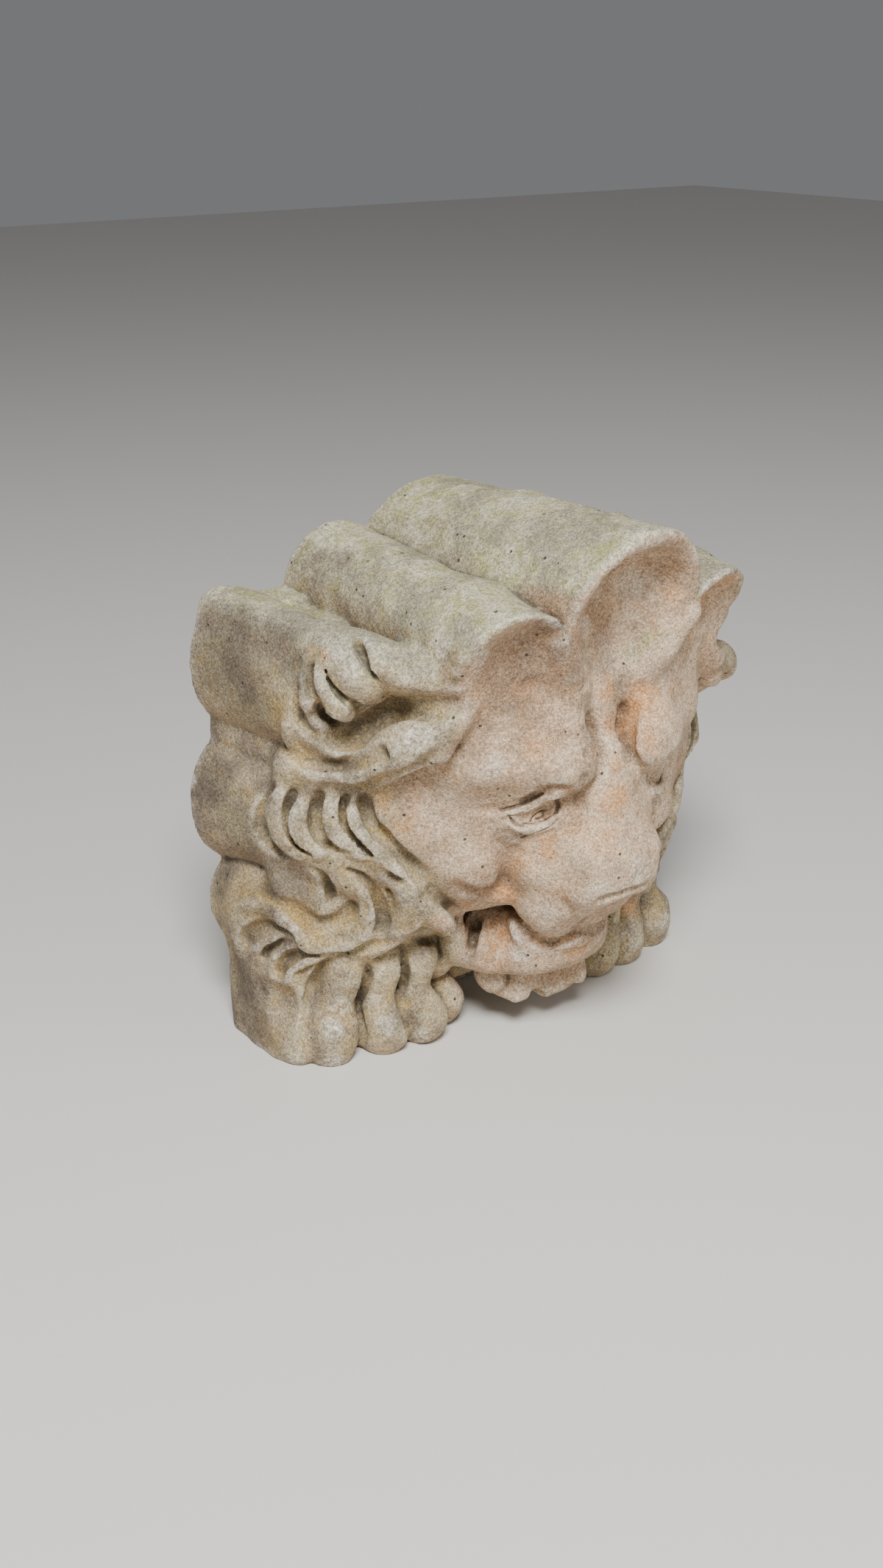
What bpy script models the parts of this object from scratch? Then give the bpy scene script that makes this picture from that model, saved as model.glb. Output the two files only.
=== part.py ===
# Stone gargoyle: a cast stone lion's head between its two paws, under a canopy of shell rolls.
# It stands on its flat underside with its flat back upright. Metres, +Z up, the face looks along -Y.
# The origin is on the plane it stands on, under the middle of its outline.
from math import radians

import bmesh
import bpy
from mathutils import Matrix, Vector

# Overall sizes of the stone
WIDTH = 0.276
DEPTH = 0.163
HEIGHT = 0.260

# The carving is laid out on a drawing grid, in steps of about a millimetre: 276 steps across the block
# that it is cut from, 163 steps from back to front and 260 up. At the end the mesh is fitted to the sizes
# above.
# Across, the grid counts from the middle, so one list serves both sides. Up, it counts from the ground.
# Along, it counts back from the line of the toes, with the flat back at step 62.
GRID_WIDE, GRID_DEEP, GRID_HIGH = 276, 163, 260
BACK = 62
FRONT = BACK - GRID_DEEP

# Working mesh: the voxels that melt forms together and the distance that merges doubles, in grid steps,
# how far one pass of wear rounds the tool marks, and the number of faces that the finished solid keeps
ROUGH_VOXEL = 2.6
FINE_VOXEL = 1.9
DOUBLES = 0.0001
WEAR = 0.5
WEAR_PASSES = 5
FACE_COUNT = 9000

# Roundness of the plain forms, before they are melted together
ROLL_SIDES = 64
BALL_SIDES, BALL_RINGS = 28, 16
EDGE_STEPS = 5
BAND_STEPS = 5
BAND_SIDES = 4

# The dome on the end of a band: reach beyond the end and width, both as shares of the end's radius
DOME = ((0.9, 0.42), (0.55, 0.83))

SIDES = (1, -1)
STONE_COLOUR = (0.42, 0.37, 0.28, 1.0)

# Rolls of the canopy, each a cone from the back to its front end.
# An end is its place across, its place along, its height and its radius. narrow squeezes a roll across.
CENTRE_ROLL = {"back": (0, 66, 208, 45), "front": (0, -104, 225, 35)}
SECOND_ROLL = {"back": (-54, 66, 211, 28.5), "front": (-55, -92, 207, 23)}
SIDE_ROLLS = [
    {"back": (-91, 66, 199, 12), "front": (-75, -48, 187, 10), "narrow": 1.0},
    {"back": (-111, 66, 186, 33), "front": (-98, -2, 183, 30), "narrow": 0.69},
    {"back": (-120, 66, 211, 7), "front": (-105, -6, 207, 7), "narrow": 1.0},
    {"back": (-110, 66, 120, 34), "front": (-96, 14, 118, 31), "narrow": 0.82},
    {"back": (-108, 66, 68, 25), "front": (-98, 20, 66, 23), "narrow": 0.9},
]

# Front ends of the two upper rolls: a point on the cut and the direction that it faces
CENTRE_CUT = ((0, -100, 258), (0, -1, -0.38))
SECOND_CUT = ((-56, -82, 227), (-0.218, -1, -0.6))

# Blocks behind the rolls: centre, half sizes and rounding
BLOCKS = [
    ((0, 34, 112), (96, 32, 98), 14),
    ((0, 52, 118), (108, 14, 96), 8),
    ((0, 45, 24), (72, 19, 26), 6),
    ((-92, 37, 23), (31, 28, 33), 13),
]
LEG = [(-101, 40, 70, 30), (-97, 38, 46, 26), (-94, 38, 26, 25)]

# Hollows under the rims, which part the canopy from the forehead
RIM_HOLLOWS = [
    [(0, -94, 222, 29), (0, -88, 205, 25), (0, -80, 190, 18), (0, -78, 178, 11)],
    [(-57, -88, 205, 22), (-56, -94, 188, 24)],
]
FACE_SPACE = ((0, -112, 136), (90, 50, 64), 10)

# Skull: centre, half sizes and rounding
SKULL = ((0, 2, 138), (82, 50, 72), 42)

# Face: rounded masses as centre and radii, some with a turn about each axis in degrees
FACE_MASSES = {
    "forehead": ((-40, -41, 174), (40, 25, 36), (-13, 0, -28)),
    "brow": ((-29, -55, 158), (23, 18, 16), (0, 0, -25)),
    "temple": ((-60, -22, 166), (26, 28, 28)),
    "snout": ((0, -46, 118), (36, 35, 25)),
    "nose": ((0, -64, 114), (23, 21, 17)),
    "side of the snout": ((-28, -46, 130), (24, 20, 20)),
    "side of the face": ((-58, -18, 132), (25, 30, 36)),
    "edge of the face": ((-72, -13, 132), (22, 26, 34)),
    "cheek": ((-49, -33, 108), (20, 21, 20)),
    "muzzle": ((-19, -50, 103), (20, 20, 15)),
    "upper lip": ((0, -50, 92), (26, 18, 14)),
    "jowl": ((-14, -52, 89), (18, 17, 17)),
    "jaw": ((0, -12, 50), (38, 30, 20)),
    "chin": ((0, -42, 58), (14, 14, 15)),
    "broken lump under the jaw": ((-1, -22, 29), (20, 15, 13)),
}

# Face: long forms as points along the middle with the radius at each
FACE_BANDS = {
    "crest between the scoops": [(-36, -79, 214, 5), (-29, -74, 202, 6.5), (-22, -67, 190, 9)],
    "bridge": [(0, -48, 205, 14), (0, -52, 190, 12), (0, -55, 174, 11.5), (0, -55, 160, 15),
               (0, -53, 147, 22), (0, -50, 132, 28)],
    "fold of the cheek": [(-58, -14, 86, 7), (-46, -26, 83, 8), (-34, -38, 86, 8), (-22, -48, 92, 8)],
    "corner of the mouth": [(-45, -16, 84, 6.5), (-44, -16, 66, 6), (-41, -14, 48, 7)],
    "lip of the jaw": [(-36, -12, 44, 8), (-29, -29, 46, 9), (-15, -40, 48, 11), (0, -43, 50, 12)],
}

# Ear: the thick lip under it, the swelling inside it and its upper edge
EAR_BANDS = {
    "rim": [(-113, 5, 151, 7), (-105, -4, 148, 8.5), (-98, -14, 150, 9), (-91, -28, 159, 10),
            (-84, -44, 171, 10), (-76, -53, 180, 9), (-70, -57, 190, 7)],
    "swelling": [(-92, -30, 166, 8), (-86, -40, 173, 8), (-79, -48, 180, 6)],
    "upper edge of the ear": [(-104, -8, 206, 11), (-94, -24, 204, 11), (-84, -42, 200, 9),
                              (-73, -58, 196, 6)],
}

# Mane beside the face and over the paw
MANE_BANDS = {
    "outer locks": [(-112, 9, 150, 9), (-112, 10, 134, 10), (-108, 8, 118, 10), (-100, 4, 104, 10)],
    "inner locks": [(-103, -4, 150, 9), (-100, -3, 134, 10), (-96, -4, 118, 10), (-90, -10, 106, 9)],
    "outer curl": [(-92, -11, 114, 7), (-84, -19, 105, 8), (-77, -26, 97, 8), (-75, -26, 84, 8),
                   (-78, -18, 71, 8), (-86, -8, 62, 8)],
    "inner curl": [(-97, -3, 102, 8), (-90, -12, 95, 9), (-86, -13, 82, 9), (-87, -7, 69, 9),
                   (-95, 3, 61, 8), (-102, 13, 62, 7), (-108, 21, 70, 7), (-115, 29, 74, 7),
                   (-121, 40, 71, 7)],
    "heart of the curl": [(-108, 18, 92, 13), (-101, 8, 89, 12), (-95, 3, 80, 11)],
    "lower hair": [(-120, 40, 55, 8), (-114, 28, 56, 9), (-107, 18, 54, 9), (-98, 8, 50, 8),
                   (-86, 0, 52, 8)],
    "edge of the leg": [(-98, 8, 50, 7), (-104, 14, 40, 8), (-108, 13, 30, 8), (-110, 11, 20, 9),
                        (-112, 12, 8, 10)],
    "spike of hair": [(-70, -20, 90, 9), (-65, -27, 83, 8), (-61, -34, 75, 4)],
}

# Toes, from the knuckle down to the pad
TOES = {
    "first toe": [(-88, 14, 56, 9), (-90.5, 4.5, 45, 11), (-95.8, 5.6, 30, 9.2), (-99, 2, 15, 12),
                  (-100, 4, 8, 12)],
    "second toe": [(-74, 6, 58, 9), (-75.3, -3, 46, 10.5), (-77, -2, 30, 8.8), (-74, -4, 14, 12.5),
                   (-74, -2, 8, 12)],
    "third toe": [(-59, 4, 58, 8), (-59, -8, 46.5, 9.5), (-60, -8, 30, 7.4), (-55, -8, 13, 12),
                  (-54, -4, 8, 11)],
    "fourth toe": [(-47, 8, 52, 7), (-46, -6, 42, 8), (-46, -3, 34, 6)],
    "pad of the fourth toe": [(-44, 4, 30, 5), (-39.6, -4, 17, 9), (-39, -1, 9, 9)],
}

# Locks, tufts, curls and lids that stand up on the masses
RELIEF_BANDS = {
    "lock 1 ridge": [(-115.5, 6.4, 145.7, 5), (-119.8, 7.7, 135.8, 6), (-119.7, 8.9, 124.5, 6),
                     (-117.4, 2.8, 117.4, 6), (-110.4, -3.4, 112.9, 5)],
    "lock 2 ridge": [(-109.8, -2.4, 146.4, 5), (-114.2, 0.5, 133.8, 6), (-115.6, -0.8, 125.4, 6),
                     (-113.2, -6.3, 118.8, 6), (-106.3, -9, 114.5, 5)],
    "lock 3 ridge": [(-104.8, -9.9, 145.8, 5), (-106.8, -9.9, 134.3, 6), (-106.2, -13, 125.8, 6),
                     (-100.6, -16.9, 118.6, 6), (-89, -17.3, 111.2, 5)],
    "lock 4 ridge": [(-97.9, -18.7, 147.9, 5), (-97.4, -16.4, 132.5, 5), (-95.4, -19.8, 122.6, 5),
                     (-86.1, -23.7, 110.2, 6), (-78.6, -29.8, 100.4, 6), (-74.2, -28.7, 89.8, 6)],
    "inner S ridge": [(-125.8, 35.7, 75.2, 4), (-123.3, 25.5, 78.9, 5), (-118.3, 17.1, 77.9, 5),
                      (-114.9, 9.5, 72.1, 5), (-111.4, 3.7, 65.7, 5), (-102.7, 0.2, 60.3, 5),
                      (-94, -8.8, 64.5, 5), (-87.6, -13.8, 74.1, 5)],
    "curl d ridge": [(-115.5, 14.2, 43.4, 3), (-113.8, 10.5, 49.8, 4), (-109.4, 5.1, 55.3, 4),
                     (-102, 1.5, 55.7, 4), (-92, -2.9, 58.1, 4)],
    "tuft block": [(-103.9, -11.4, 207.9, 8), (-104.1, -19.6, 205.1, 9), (-100.9, -25.4, 196.6, 8),
                   (-89, -22.8, 189.3, 6)],
    "tuft a ridge": [(-109.3, -12.3, 206.5, 4), (-112.7, -15.7, 196.6, 5), (-112.3, -21, 188.8, 5),
                     (-97.8, -16.1, 178.5, 5), (-91, -25, 184.9, 4)],
    "tuft b ridge": [(-112.8, -5.1, 193.6, 4), (-116.9, -7.7, 185.5, 5), (-114.1, -9.1, 174.2, 5),
                     (-107.2, -13.4, 167.4, 4)],
    "tuft c ridge": [(-115.5, 4, 176.4, 4), (-114.2, 6, 164.8, 5), (-110.6, 1.4, 157.8, 5),
                     (-104.8, -10.1, 160.5, 4)],
    "ear bulge": [(-89.7, -33.8, 163.4, 10), (-88, -43.3, 169, 11), (-81, -50.1, 172.2, 8)],
    "lid fold": [(-52, -50.7, 132.7, 2.5), (-45.6, -58.9, 133.4, 2.5), (-38.1, -63.7, 136.6, 2.5),
                 (-30.2, -66.5, 140.2, 2.5), (-22.6, -66, 137.9, 2.5)],
    "lower lid": [(-44.6, -57.8, 129.7, 2.5), (-41.9, -61.6, 126, 2.5), (-36, -64.7, 124.5, 2.5),
                  (-30.8, -67.8, 126.6, 2.5), (-25.8, -67.4, 129.4, 2.5)],
}

# Cuts made with the gouge once the masses stand: long grooves, and hollows as centre and radii
GROOVES = {
    "lock 1 groove": [(-125.8, 7.8, 142.2, 3.7), (-122.1, 16.8, 128.6, 5.5), (-122.6, 18.8, 118.1, 5.5),
                      (-120.7, 12.6, 110.3, 4.6), (-120.5, 0.7, 108.4, 2.8)],
    "lock 2 groove": [(-118.6, -2.8, 145.1, 2.4), (-118.3, 3.5, 135.2, 2.8), (-119.4, 3.2, 126, 3.2),
                      (-117.7, -1.9, 119.9, 2.8), (-116.9, -9.3, 116.6, 2.4)],
    "lock 3 groove": [(-113.8, -12.8, 146.1, 2.8), (-110.8, -5.8, 133.7, 4.1), (-111, -6.7, 125.6, 4.6),
                      (-109.2, -12.8, 119.1, 3.7), (-105, -20, 115.2, 2.4)],
    "lock 4 groove": [(-105.2, -22.3, 145.3, 2.4), (-101.9, -13.6, 135.5, 2.8), (-102.1, -14.9, 128, 3.7),
                      (-99.1, -18.3, 121.1, 2.8), (-93, -23.8, 114.3, 2.4)],
    "face edge": [(-98, -26.2, 143.1, 2.8), (-93.9, -18.4, 135, 3.7), (-93.1, -21.2, 127.3, 3.7),
                  (-87.5, -27.1, 118.6, 3.7), (-78.3, -29.9, 108.2, 3.7), (-73.9, -37.6, 99.3, 3.7)],
    "comma": [(-115.9, -4.6, 105, 2.4), (-110.1, -6.9, 104.2, 2.8), (-103, -3.1, 96.6, 3.2),
              (-101.6, -2.1, 87.7, 2.8), (-105, -6.6, 84.7, 2.4)],
    "outer S groove": [(-106.1, -16.5, 106.7, 2.4), (-96.2, -17, 102.6, 2.4), (-90.5, -19.3, 95, 2.8),
                       (-86.8, -19, 84.8, 3.2), (-84.4, -17.9, 75.5, 3.2), (-89.4, -20.4, 69.1, 2.4)],
    "crescent": [(-118.7, 9.2, 81.8, 3.7), (-112.4, 5.7, 77, 4.6), (-106.7, 0.2, 74.7, 4.6),
                 (-100.7, -7.2, 77.6, 4.6), (-96.4, -9.3, 84.5, 3.7), (-100.9, -17.8, 95.9, 2.8)],
    "curl hollow": [(-129.8, 30.4, 48.9, 3.7), (-127.4, 30.8, 58.2, 5.5), (-124.6, 23.4, 67, 4.6),
                    (-119.8, 16.3, 69.8, 3.7), (-119, 7, 67.4, 2.8)],
    "curl c groove": [(-123.2, 12.5, 43, 2.8), (-118.3, 15.3, 48.2, 4.1), (-114.6, 12, 54.9, 3.7),
                      (-110.6, 4.1, 59.7, 2.8), (-106.9, -2.1, 58.6, 2.4)],
    "paw groove": [(-100.1, -5.4, 56, 2.4), (-103.8, 2.2, 50.9, 3.7), (-105.8, 7.3, 39.9, 4.1),
                   (-109.4, 6.5, 30.5, 4.1), (-113.7, 4.1, 21.2, 3.7), (-118.8, -0.3, 11.3, 3.7)],
    "toe 1-2": [(-92.9, -16.6, 59.7, 2.8), (-84.7, -6.1, 43, 2.8), (-84.5, 2.4, 25.7, 2.8),
                (-83.8, 0.3, 15.2, 2.8), (-86.5, -2, 9.9, 2.8)],
    "toe 2-3": [(-69, -11.4, 54.8, 2.8), (-66.8, -11.7, 41.2, 2.8), (-70.3, -9, 26.8, 2.8),
                (-67.7, -12.7, 14.6, 2.8), (-64.9, -13, 7, 2.8)],
    "tuft crack": [(-101.9, -25.6, 216.6, 2.8), (-99.8, -28.2, 208.7, 3.2), (-99.4, -33, 203.9, 3.2),
                   (-100.5, -38.2, 197.5, 2.8)],
    "tuft b groove": [(-117.3, -13.9, 206.5, 2.8), (-114.2, -10.6, 194.2, 3.7), (-114.2, -15.1, 185.5, 3.7),
                      (-103.1, -12.5, 174.6, 3.7), (-98.1, -24.8, 177.3, 2.8)],
    "tuft c groove": [(-121.5, -3.5, 191.1, 2.8), (-117.9, -2.8, 179.2, 3.7), (-115.7, -6.2, 170.8, 3.7),
                      (-116.3, -18.6, 167.2, 3.7)],
    "concha": [(-121.1, -12.1, 168, 5.5), (-111, -18.1, 169.4, 6.4), (-100.6, -19.9, 168.9, 6.4),
               (-93.1, -25.8, 175.2, 6.4), (-86.2, -32.4, 181.9, 5.5), (-87, -47.5, 188.1, 4.6)],
    "behind bulge": [(-104.3, -29.1, 170.5, 3.7), (-96.5, -24.1, 172.8, 4.6), (-90.9, -28.6, 178, 3.7),
                     (-85.8, -39.3, 181.5, 2.8), (-81.8, -53.1, 184.2, 2.4)],
    "beside strip": [(-22.9, -82, 201.7, 2.8), (-18.3, -75.8, 187.8, 3.7), (-8.4, -65.6, 171.4, 4.1),
                     (-7.5, -68.6, 161.2, 4.1), (-6.5, -72.2, 152.7, 3.7), (-9.4, -74.3, 144.3, 3.7),
                     (-16.5, -75.8, 139.6, 2.8)],
    "brow shadow": [(-63.3, -52, 134.7, 2.8), (-53.5, -54.5, 135.2, 3.7), (-45.5, -60.3, 136.6, 3.7),
                    (-37.7, -64.8, 140.9, 4.1), (-32, -70.2, 145.5, 4.1), (-20.8, -69.2, 142.7, 3.7),
                    (-17.4, -75, 140.3, 2.8)],
    "cheek line": [(-67.6, -45.8, 97.6, 3.7), (-55.5, -46.1, 93.2, 3.7), (-43.4, -45.9, 90.4, 4.1),
                   (-42.1, -54.6, 100.2, 4.6), (-43.6, -59.7, 111.2, 4.6)],
    "slot": [(-30.3, -17.5, 65.5, 2.8), (-29.5, -15.8, 56.3, 3.7), (-34.6, -19.1, 51.2, 3.7),
             (-43.6, -26.7, 47.9, 3.2)],
    "jowl edge": [(-18.1, -35.1, 63.5, 2.8), (-17.8, -41.4, 58, 3.2), (-14.4, -48.1, 56, 3.7),
                  (-7.5, -52.1, 57.6, 3.2), (-0.5, -54.7, 61, 2.8), (16.4, -47.8, 60.8, 2.8)],
    "nose underside": [(-7.2, -71.8, 87.7, 2.4), (4.6, -64.8, 79.5, 2.8), (11, -63.6, 76.6, 2.9)],
    "bowl of the ear": [(-113, -10, 180, 5), (-105, -22, 177, 7.5), (-97, -36, 180, 8), (-87, -50, 186, 7),
                        (-78, -62, 191, 4.5)],
}
HOLLOWS = {
    "recess of the mouth": ((-30, -36, 67), (10, 14, 14)),
}


def rounded_block(centre, half, rounding):
    """A box with rounded edges, from its centre and half sizes."""
    bpy.ops.mesh.primitive_cube_add(size=2, location=centre, scale=half)
    block = bpy.context.object
    bevel = block.modifiers.new("Rounded edges", "BEVEL")
    bevel.width = rounding
    bevel.segments = EDGE_STEPS
    return block


def ball(centre, radii, turn=(0, 0, 0)):
    """An egg-shaped mass, from its centre, its three radii and its turn in degrees."""
    bpy.ops.mesh.primitive_uv_sphere_add(segments=BALL_SIDES, ring_count=BALL_RINGS, radius=1,
                                         location=centre, scale=radii,
                                         rotation=[radians(angle) for angle in turn])
    return bpy.context.object


def roll(back, front, narrow=1.0):
    """A cone from its back end to its front end, squeezed across by narrow."""
    start, end = Vector(back[:3]), Vector(front[:3])
    axis = end - start
    bpy.ops.mesh.primitive_cone_add(vertices=ROLL_SIDES, radius1=back[3], radius2=front[3],
                                    depth=axis.length)
    cone = bpy.context.object
    squeeze = Matrix.Diagonal((narrow, 1, 1, 1))
    cone.data.transform(squeeze @ axis.to_track_quat("Z", "X").to_matrix().to_4x4())
    cone.location = (start + end) / 2
    return cone


def smooth_path(points):
    """Points read from a smooth curve through the given ones; a radius rides along as a fourth number."""
    rows = [Vector(point) for point in points]
    rows = [2 * rows[0] - rows[1], *rows, 2 * rows[-1] - rows[-2]]
    path = []
    for a, b, c, d in zip(rows, rows[1:], rows[2:], rows[3:]):
        for k in range(BAND_STEPS):
            t = k / BAND_STEPS
            path.append(0.5 * (2 * b + (c - a) * t + (2 * a - 5 * b + 4 * c - d) * t**2
                               + (3 * b - a - 3 * c + d) * t**3))
    path.append(rows[-2])
    return path


def round_ends(path):
    """Two more points beyond each end, with shrinking radii, so that a tube ends in a dome."""
    def dome(end, inward):
        out = (end.xyz - inward.xyz).normalized()
        return [Vector((*(end.xyz + out * end.w * reach), end.w * width)) for reach, width in DOME]
    return dome(path[0], path[1]) + path + dome(path[-1], path[-2])[::-1]


def band(points):
    """A round form that follows points, each with its own radius."""
    path = round_ends(smooth_path(points))
    curve = bpy.data.curves.new("band", "CURVE")
    curve.dimensions = "3D"
    curve.bevel_depth = 1
    curve.bevel_resolution = BAND_SIDES
    curve.use_fill_caps = True
    spline = curve.splines.new("POLY")
    spline.points.add(len(path) - 1)
    for point, place in zip(spline.points, path):
        point.co = (*place.xyz, 1)
        point.radius = place.w
    obj = bpy.data.objects.new("band", curve)
    bpy.context.collection.objects.link(obj)
    return obj


def closed_mesh(obj):
    """The object's evaluated mesh in world space with its doubles merged; the object is removed."""
    bpy.context.view_layer.update()
    graph = bpy.context.evaluated_depsgraph_get()
    mesh = bpy.data.meshes.new_from_object(obj.evaluated_get(graph))
    mesh.transform(obj.matrix_world)
    bm = bmesh.new()
    bm.from_mesh(mesh)
    bmesh.ops.remove_doubles(bm, verts=bm.verts, dist=DOUBLES)
    bm.to_mesh(mesh)
    bm.free()
    bpy.data.objects.remove(obj)
    return mesh


def cut_end(obj, point, facing):
    """Cut an object off flat at a point, away from the direction that the cut faces."""
    mesh = closed_mesh(obj)
    bm = bmesh.new()
    bm.from_mesh(mesh)
    parts = bm.verts[:] + bm.edges[:] + bm.faces[:]
    cut = bmesh.ops.bisect_plane(bm, geom=parts, plane_co=point, plane_no=facing, clear_outer=True)
    rim = [edge for edge in cut["geom_cut"] if isinstance(edge, bmesh.types.BMEdge)]
    bmesh.ops.contextual_create(bm, geom=rim)
    bm.to_mesh(mesh)
    bm.free()
    return place_mesh("cut roll", mesh)


def place_mesh(name, mesh):
    obj = bpy.data.objects.new(name, mesh)
    bpy.context.collection.objects.link(obj)
    return obj


def gather(name, objects):
    """One object from several, each repeated on the other side of the middle."""
    whole = bmesh.new()
    for obj in objects:
        mesh = closed_mesh(obj)
        for side in SIDES:
            half = mesh.copy()
            half.transform(Matrix.Diagonal((side, 1, 1, 1)))
            if side < 0:
                half.flip_normals()
            whole.from_mesh(half)
    mesh = bpy.data.meshes.new(name)
    whole.to_mesh(mesh)
    whole.free()
    return place_mesh(name, mesh)


def fused(obj, voxel):
    """Melt overlapping forms into one skin."""
    remesh = obj.modifiers.new("Fuse", "REMESH")
    remesh.mode = "VOXEL"
    remesh.voxel_size = voxel
    return place_mesh(obj.name, closed_mesh(obj))


def boolean(obj, tool, operation):
    cut = obj.modifiers.new("Cut", "BOOLEAN")
    cut.operation = operation
    cut.solver = "EXACT"
    cut.object = tool
    result = place_mesh(obj.name, closed_mesh(obj))
    bpy.data.objects.remove(tool)
    return result


def make_canopy():
    """The shell rolls and the blocks behind them, hollowed out under the two upper rims."""
    forms = [cut_end(roll(**CENTRE_ROLL), *CENTRE_CUT), cut_end(roll(**SECOND_ROLL), *SECOND_CUT)]
    for side_roll in SIDE_ROLLS:
        forms.append(roll(**side_roll))
        x, y, z, radius = side_roll["front"]
        narrow = side_roll["narrow"]
        forms.append(ball((x, y, z), (radius * narrow, radius * narrow, radius)))
    forms += [rounded_block(*block) for block in BLOCKS]
    forms.append(band(LEG))
    canopy = fused(gather("canopy", forms), ROUGH_VOXEL)
    hollow = [band(path) for path in RIM_HOLLOWS] + [rounded_block(*FACE_SPACE)]
    hollow = fused(gather("hollow", hollow), ROUGH_VOXEL)
    return boolean(canopy, hollow, "DIFFERENCE")


def make_figure():
    """The lion's face, ears, mane and paws."""
    forms = [rounded_block(*SKULL)]
    forms += [ball(*mass) for mass in FACE_MASSES.values()]
    for bands in (FACE_BANDS, EAR_BANDS, MANE_BANDS, TOES, RELIEF_BANDS):
        forms += [band(path) for path in bands.values()]
    return gather("figure", forms)


def make_gouge():
    """Everything that is cut away after the masses stand."""
    forms = [band(path) for path in GROOVES.values()] + [ball(*hollow) for hollow in HOLLOWS.values()]
    return fused(gather("gouge", forms), FINE_VOXEL)


def joined(name, first, second):
    """Two objects as one, still overlapping."""
    whole = bmesh.new()
    for obj in (first, second):
        whole.from_mesh(closed_mesh(obj))
    mesh = bpy.data.meshes.new(name)
    whole.to_mesh(mesh)
    whole.free()
    return place_mesh(name, mesh)


def block_of_stone():
    """The block that the work is cut from: it trims the back, the underside and the front flat."""
    centre = (0, (BACK + FRONT) / 2, GRID_HIGH / 2)
    bpy.ops.mesh.primitive_cube_add(size=1, location=centre, scale=(GRID_WIDE, GRID_DEEP, GRID_HIGH))
    return bpy.context.object


def worn(obj):
    """Round the tool marks over."""
    smooth = obj.modifiers.new("Wear", "SMOOTH")
    smooth.factor = WEAR
    smooth.iterations = WEAR_PASSES
    return place_mesh(obj.name, closed_mesh(obj))


def thinned(obj):
    """Keep only the faces that the form needs."""
    thin = obj.modifiers.new("Fewer faces", "DECIMATE")
    obj.data.calc_loop_triangles()
    thin.ratio = FACE_COUNT / len(obj.data.loop_triangles)
    return place_mesh(obj.name, closed_mesh(obj))


def stone_material():
    material = bpy.data.materials.new("cast stone")
    material.use_nodes = True
    shader = material.node_tree.nodes["Principled BSDF"]
    shader.inputs["Base Color"].default_value = STONE_COLOUR
    shader.inputs["Roughness"].default_value = 0.9
    shader.inputs["Metallic"].default_value = 0.0
    return material


def to_metres(mesh):
    """Fit the mesh to the overall sizes in metres, with the origin under the middle of its outline."""
    corners = [[pick(vertex.co[axis] for vertex in mesh.vertices) for axis in range(3)] for pick in (min, max)]
    low, high = (Vector(corner) for corner in corners)
    middle = Vector(((low.x + high.x) / 2, (low.y + high.y) / 2, low.z))
    sizes = [size / span for size, span in zip((WIDTH, DEPTH, HEIGHT), high - low)]
    mesh.transform(Matrix.Diagonal((*sizes, 1)) @ Matrix.Translation(-middle))


def main():
    for obj in list(bpy.data.objects):
        bpy.data.objects.remove(obj)
    stone = joined("gargoyle", make_canopy(), make_figure())
    stone = fused(stone, FINE_VOXEL)
    stone = boolean(stone, make_gouge(), "DIFFERENCE")
    stone = worn(fused(stone, FINE_VOXEL))
    stone = thinned(boolean(stone, block_of_stone(), "INTERSECT"))
    to_metres(stone.data)
    stone.data.materials.append(stone_material())
    stone.data.shade_smooth()
    collection = bpy.data.collections.new("stone gargoyle")
    bpy.context.scene.collection.children.link(collection)
    for owner in list(stone.users_collection):
        owner.objects.unlink(stone)
    collection.objects.link(stone)
    stone.name = "gargoyle"


main()
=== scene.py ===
# Stone gargoyle: a cast stone lion's head between its paws, under a canopy of shell rolls.
import math

import bmesh
import bpy
import numpy as np
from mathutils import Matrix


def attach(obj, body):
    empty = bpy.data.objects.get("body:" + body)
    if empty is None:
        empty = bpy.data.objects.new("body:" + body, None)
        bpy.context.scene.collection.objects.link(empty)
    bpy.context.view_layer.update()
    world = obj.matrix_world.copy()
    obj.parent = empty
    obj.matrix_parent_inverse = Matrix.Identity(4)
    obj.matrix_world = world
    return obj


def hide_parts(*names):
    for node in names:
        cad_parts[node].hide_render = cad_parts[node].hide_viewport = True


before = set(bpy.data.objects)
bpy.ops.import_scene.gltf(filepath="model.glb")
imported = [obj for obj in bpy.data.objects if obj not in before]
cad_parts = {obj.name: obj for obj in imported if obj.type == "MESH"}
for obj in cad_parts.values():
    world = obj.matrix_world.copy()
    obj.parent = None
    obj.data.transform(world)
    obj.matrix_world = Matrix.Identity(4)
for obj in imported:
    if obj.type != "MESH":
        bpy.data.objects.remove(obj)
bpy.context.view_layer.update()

print("frame loaded")

# The form is a distance field: every grid point holds its distance in millimetres to the stone's surface,
# less than nothing inside. Across counts from the middle, so one half is carved and then mirrored. Along
# counts back from the line of the toes, with the flat back at 62. Up counts from the ground.
backPlane = 62.0
fieldLow = (-152.5, -118.0, -8.0)
fieldHigh = (5.0, 74.0, 264.0)
farAway = 40.0
rollFront = -100.0


# Empty grid of one half: its points are one step apart, and everything is far from the stone.
def makeField(step):
    columns = int(round(-fieldLow[0] / step))
    low = np.array([-columns * step, fieldLow[1], fieldLow[2]])
    counts = [int(np.ceil((high - start) / step)) + 1 for start, high in zip(low, fieldHigh)]
    axes = [low[k] + step * np.arange(counts[k]) for k in range(3)]
    samples = np.full(counts, farAway, np.float32)
    return {"step": step, "low": low, "axes": axes, "samples": samples}


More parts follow.
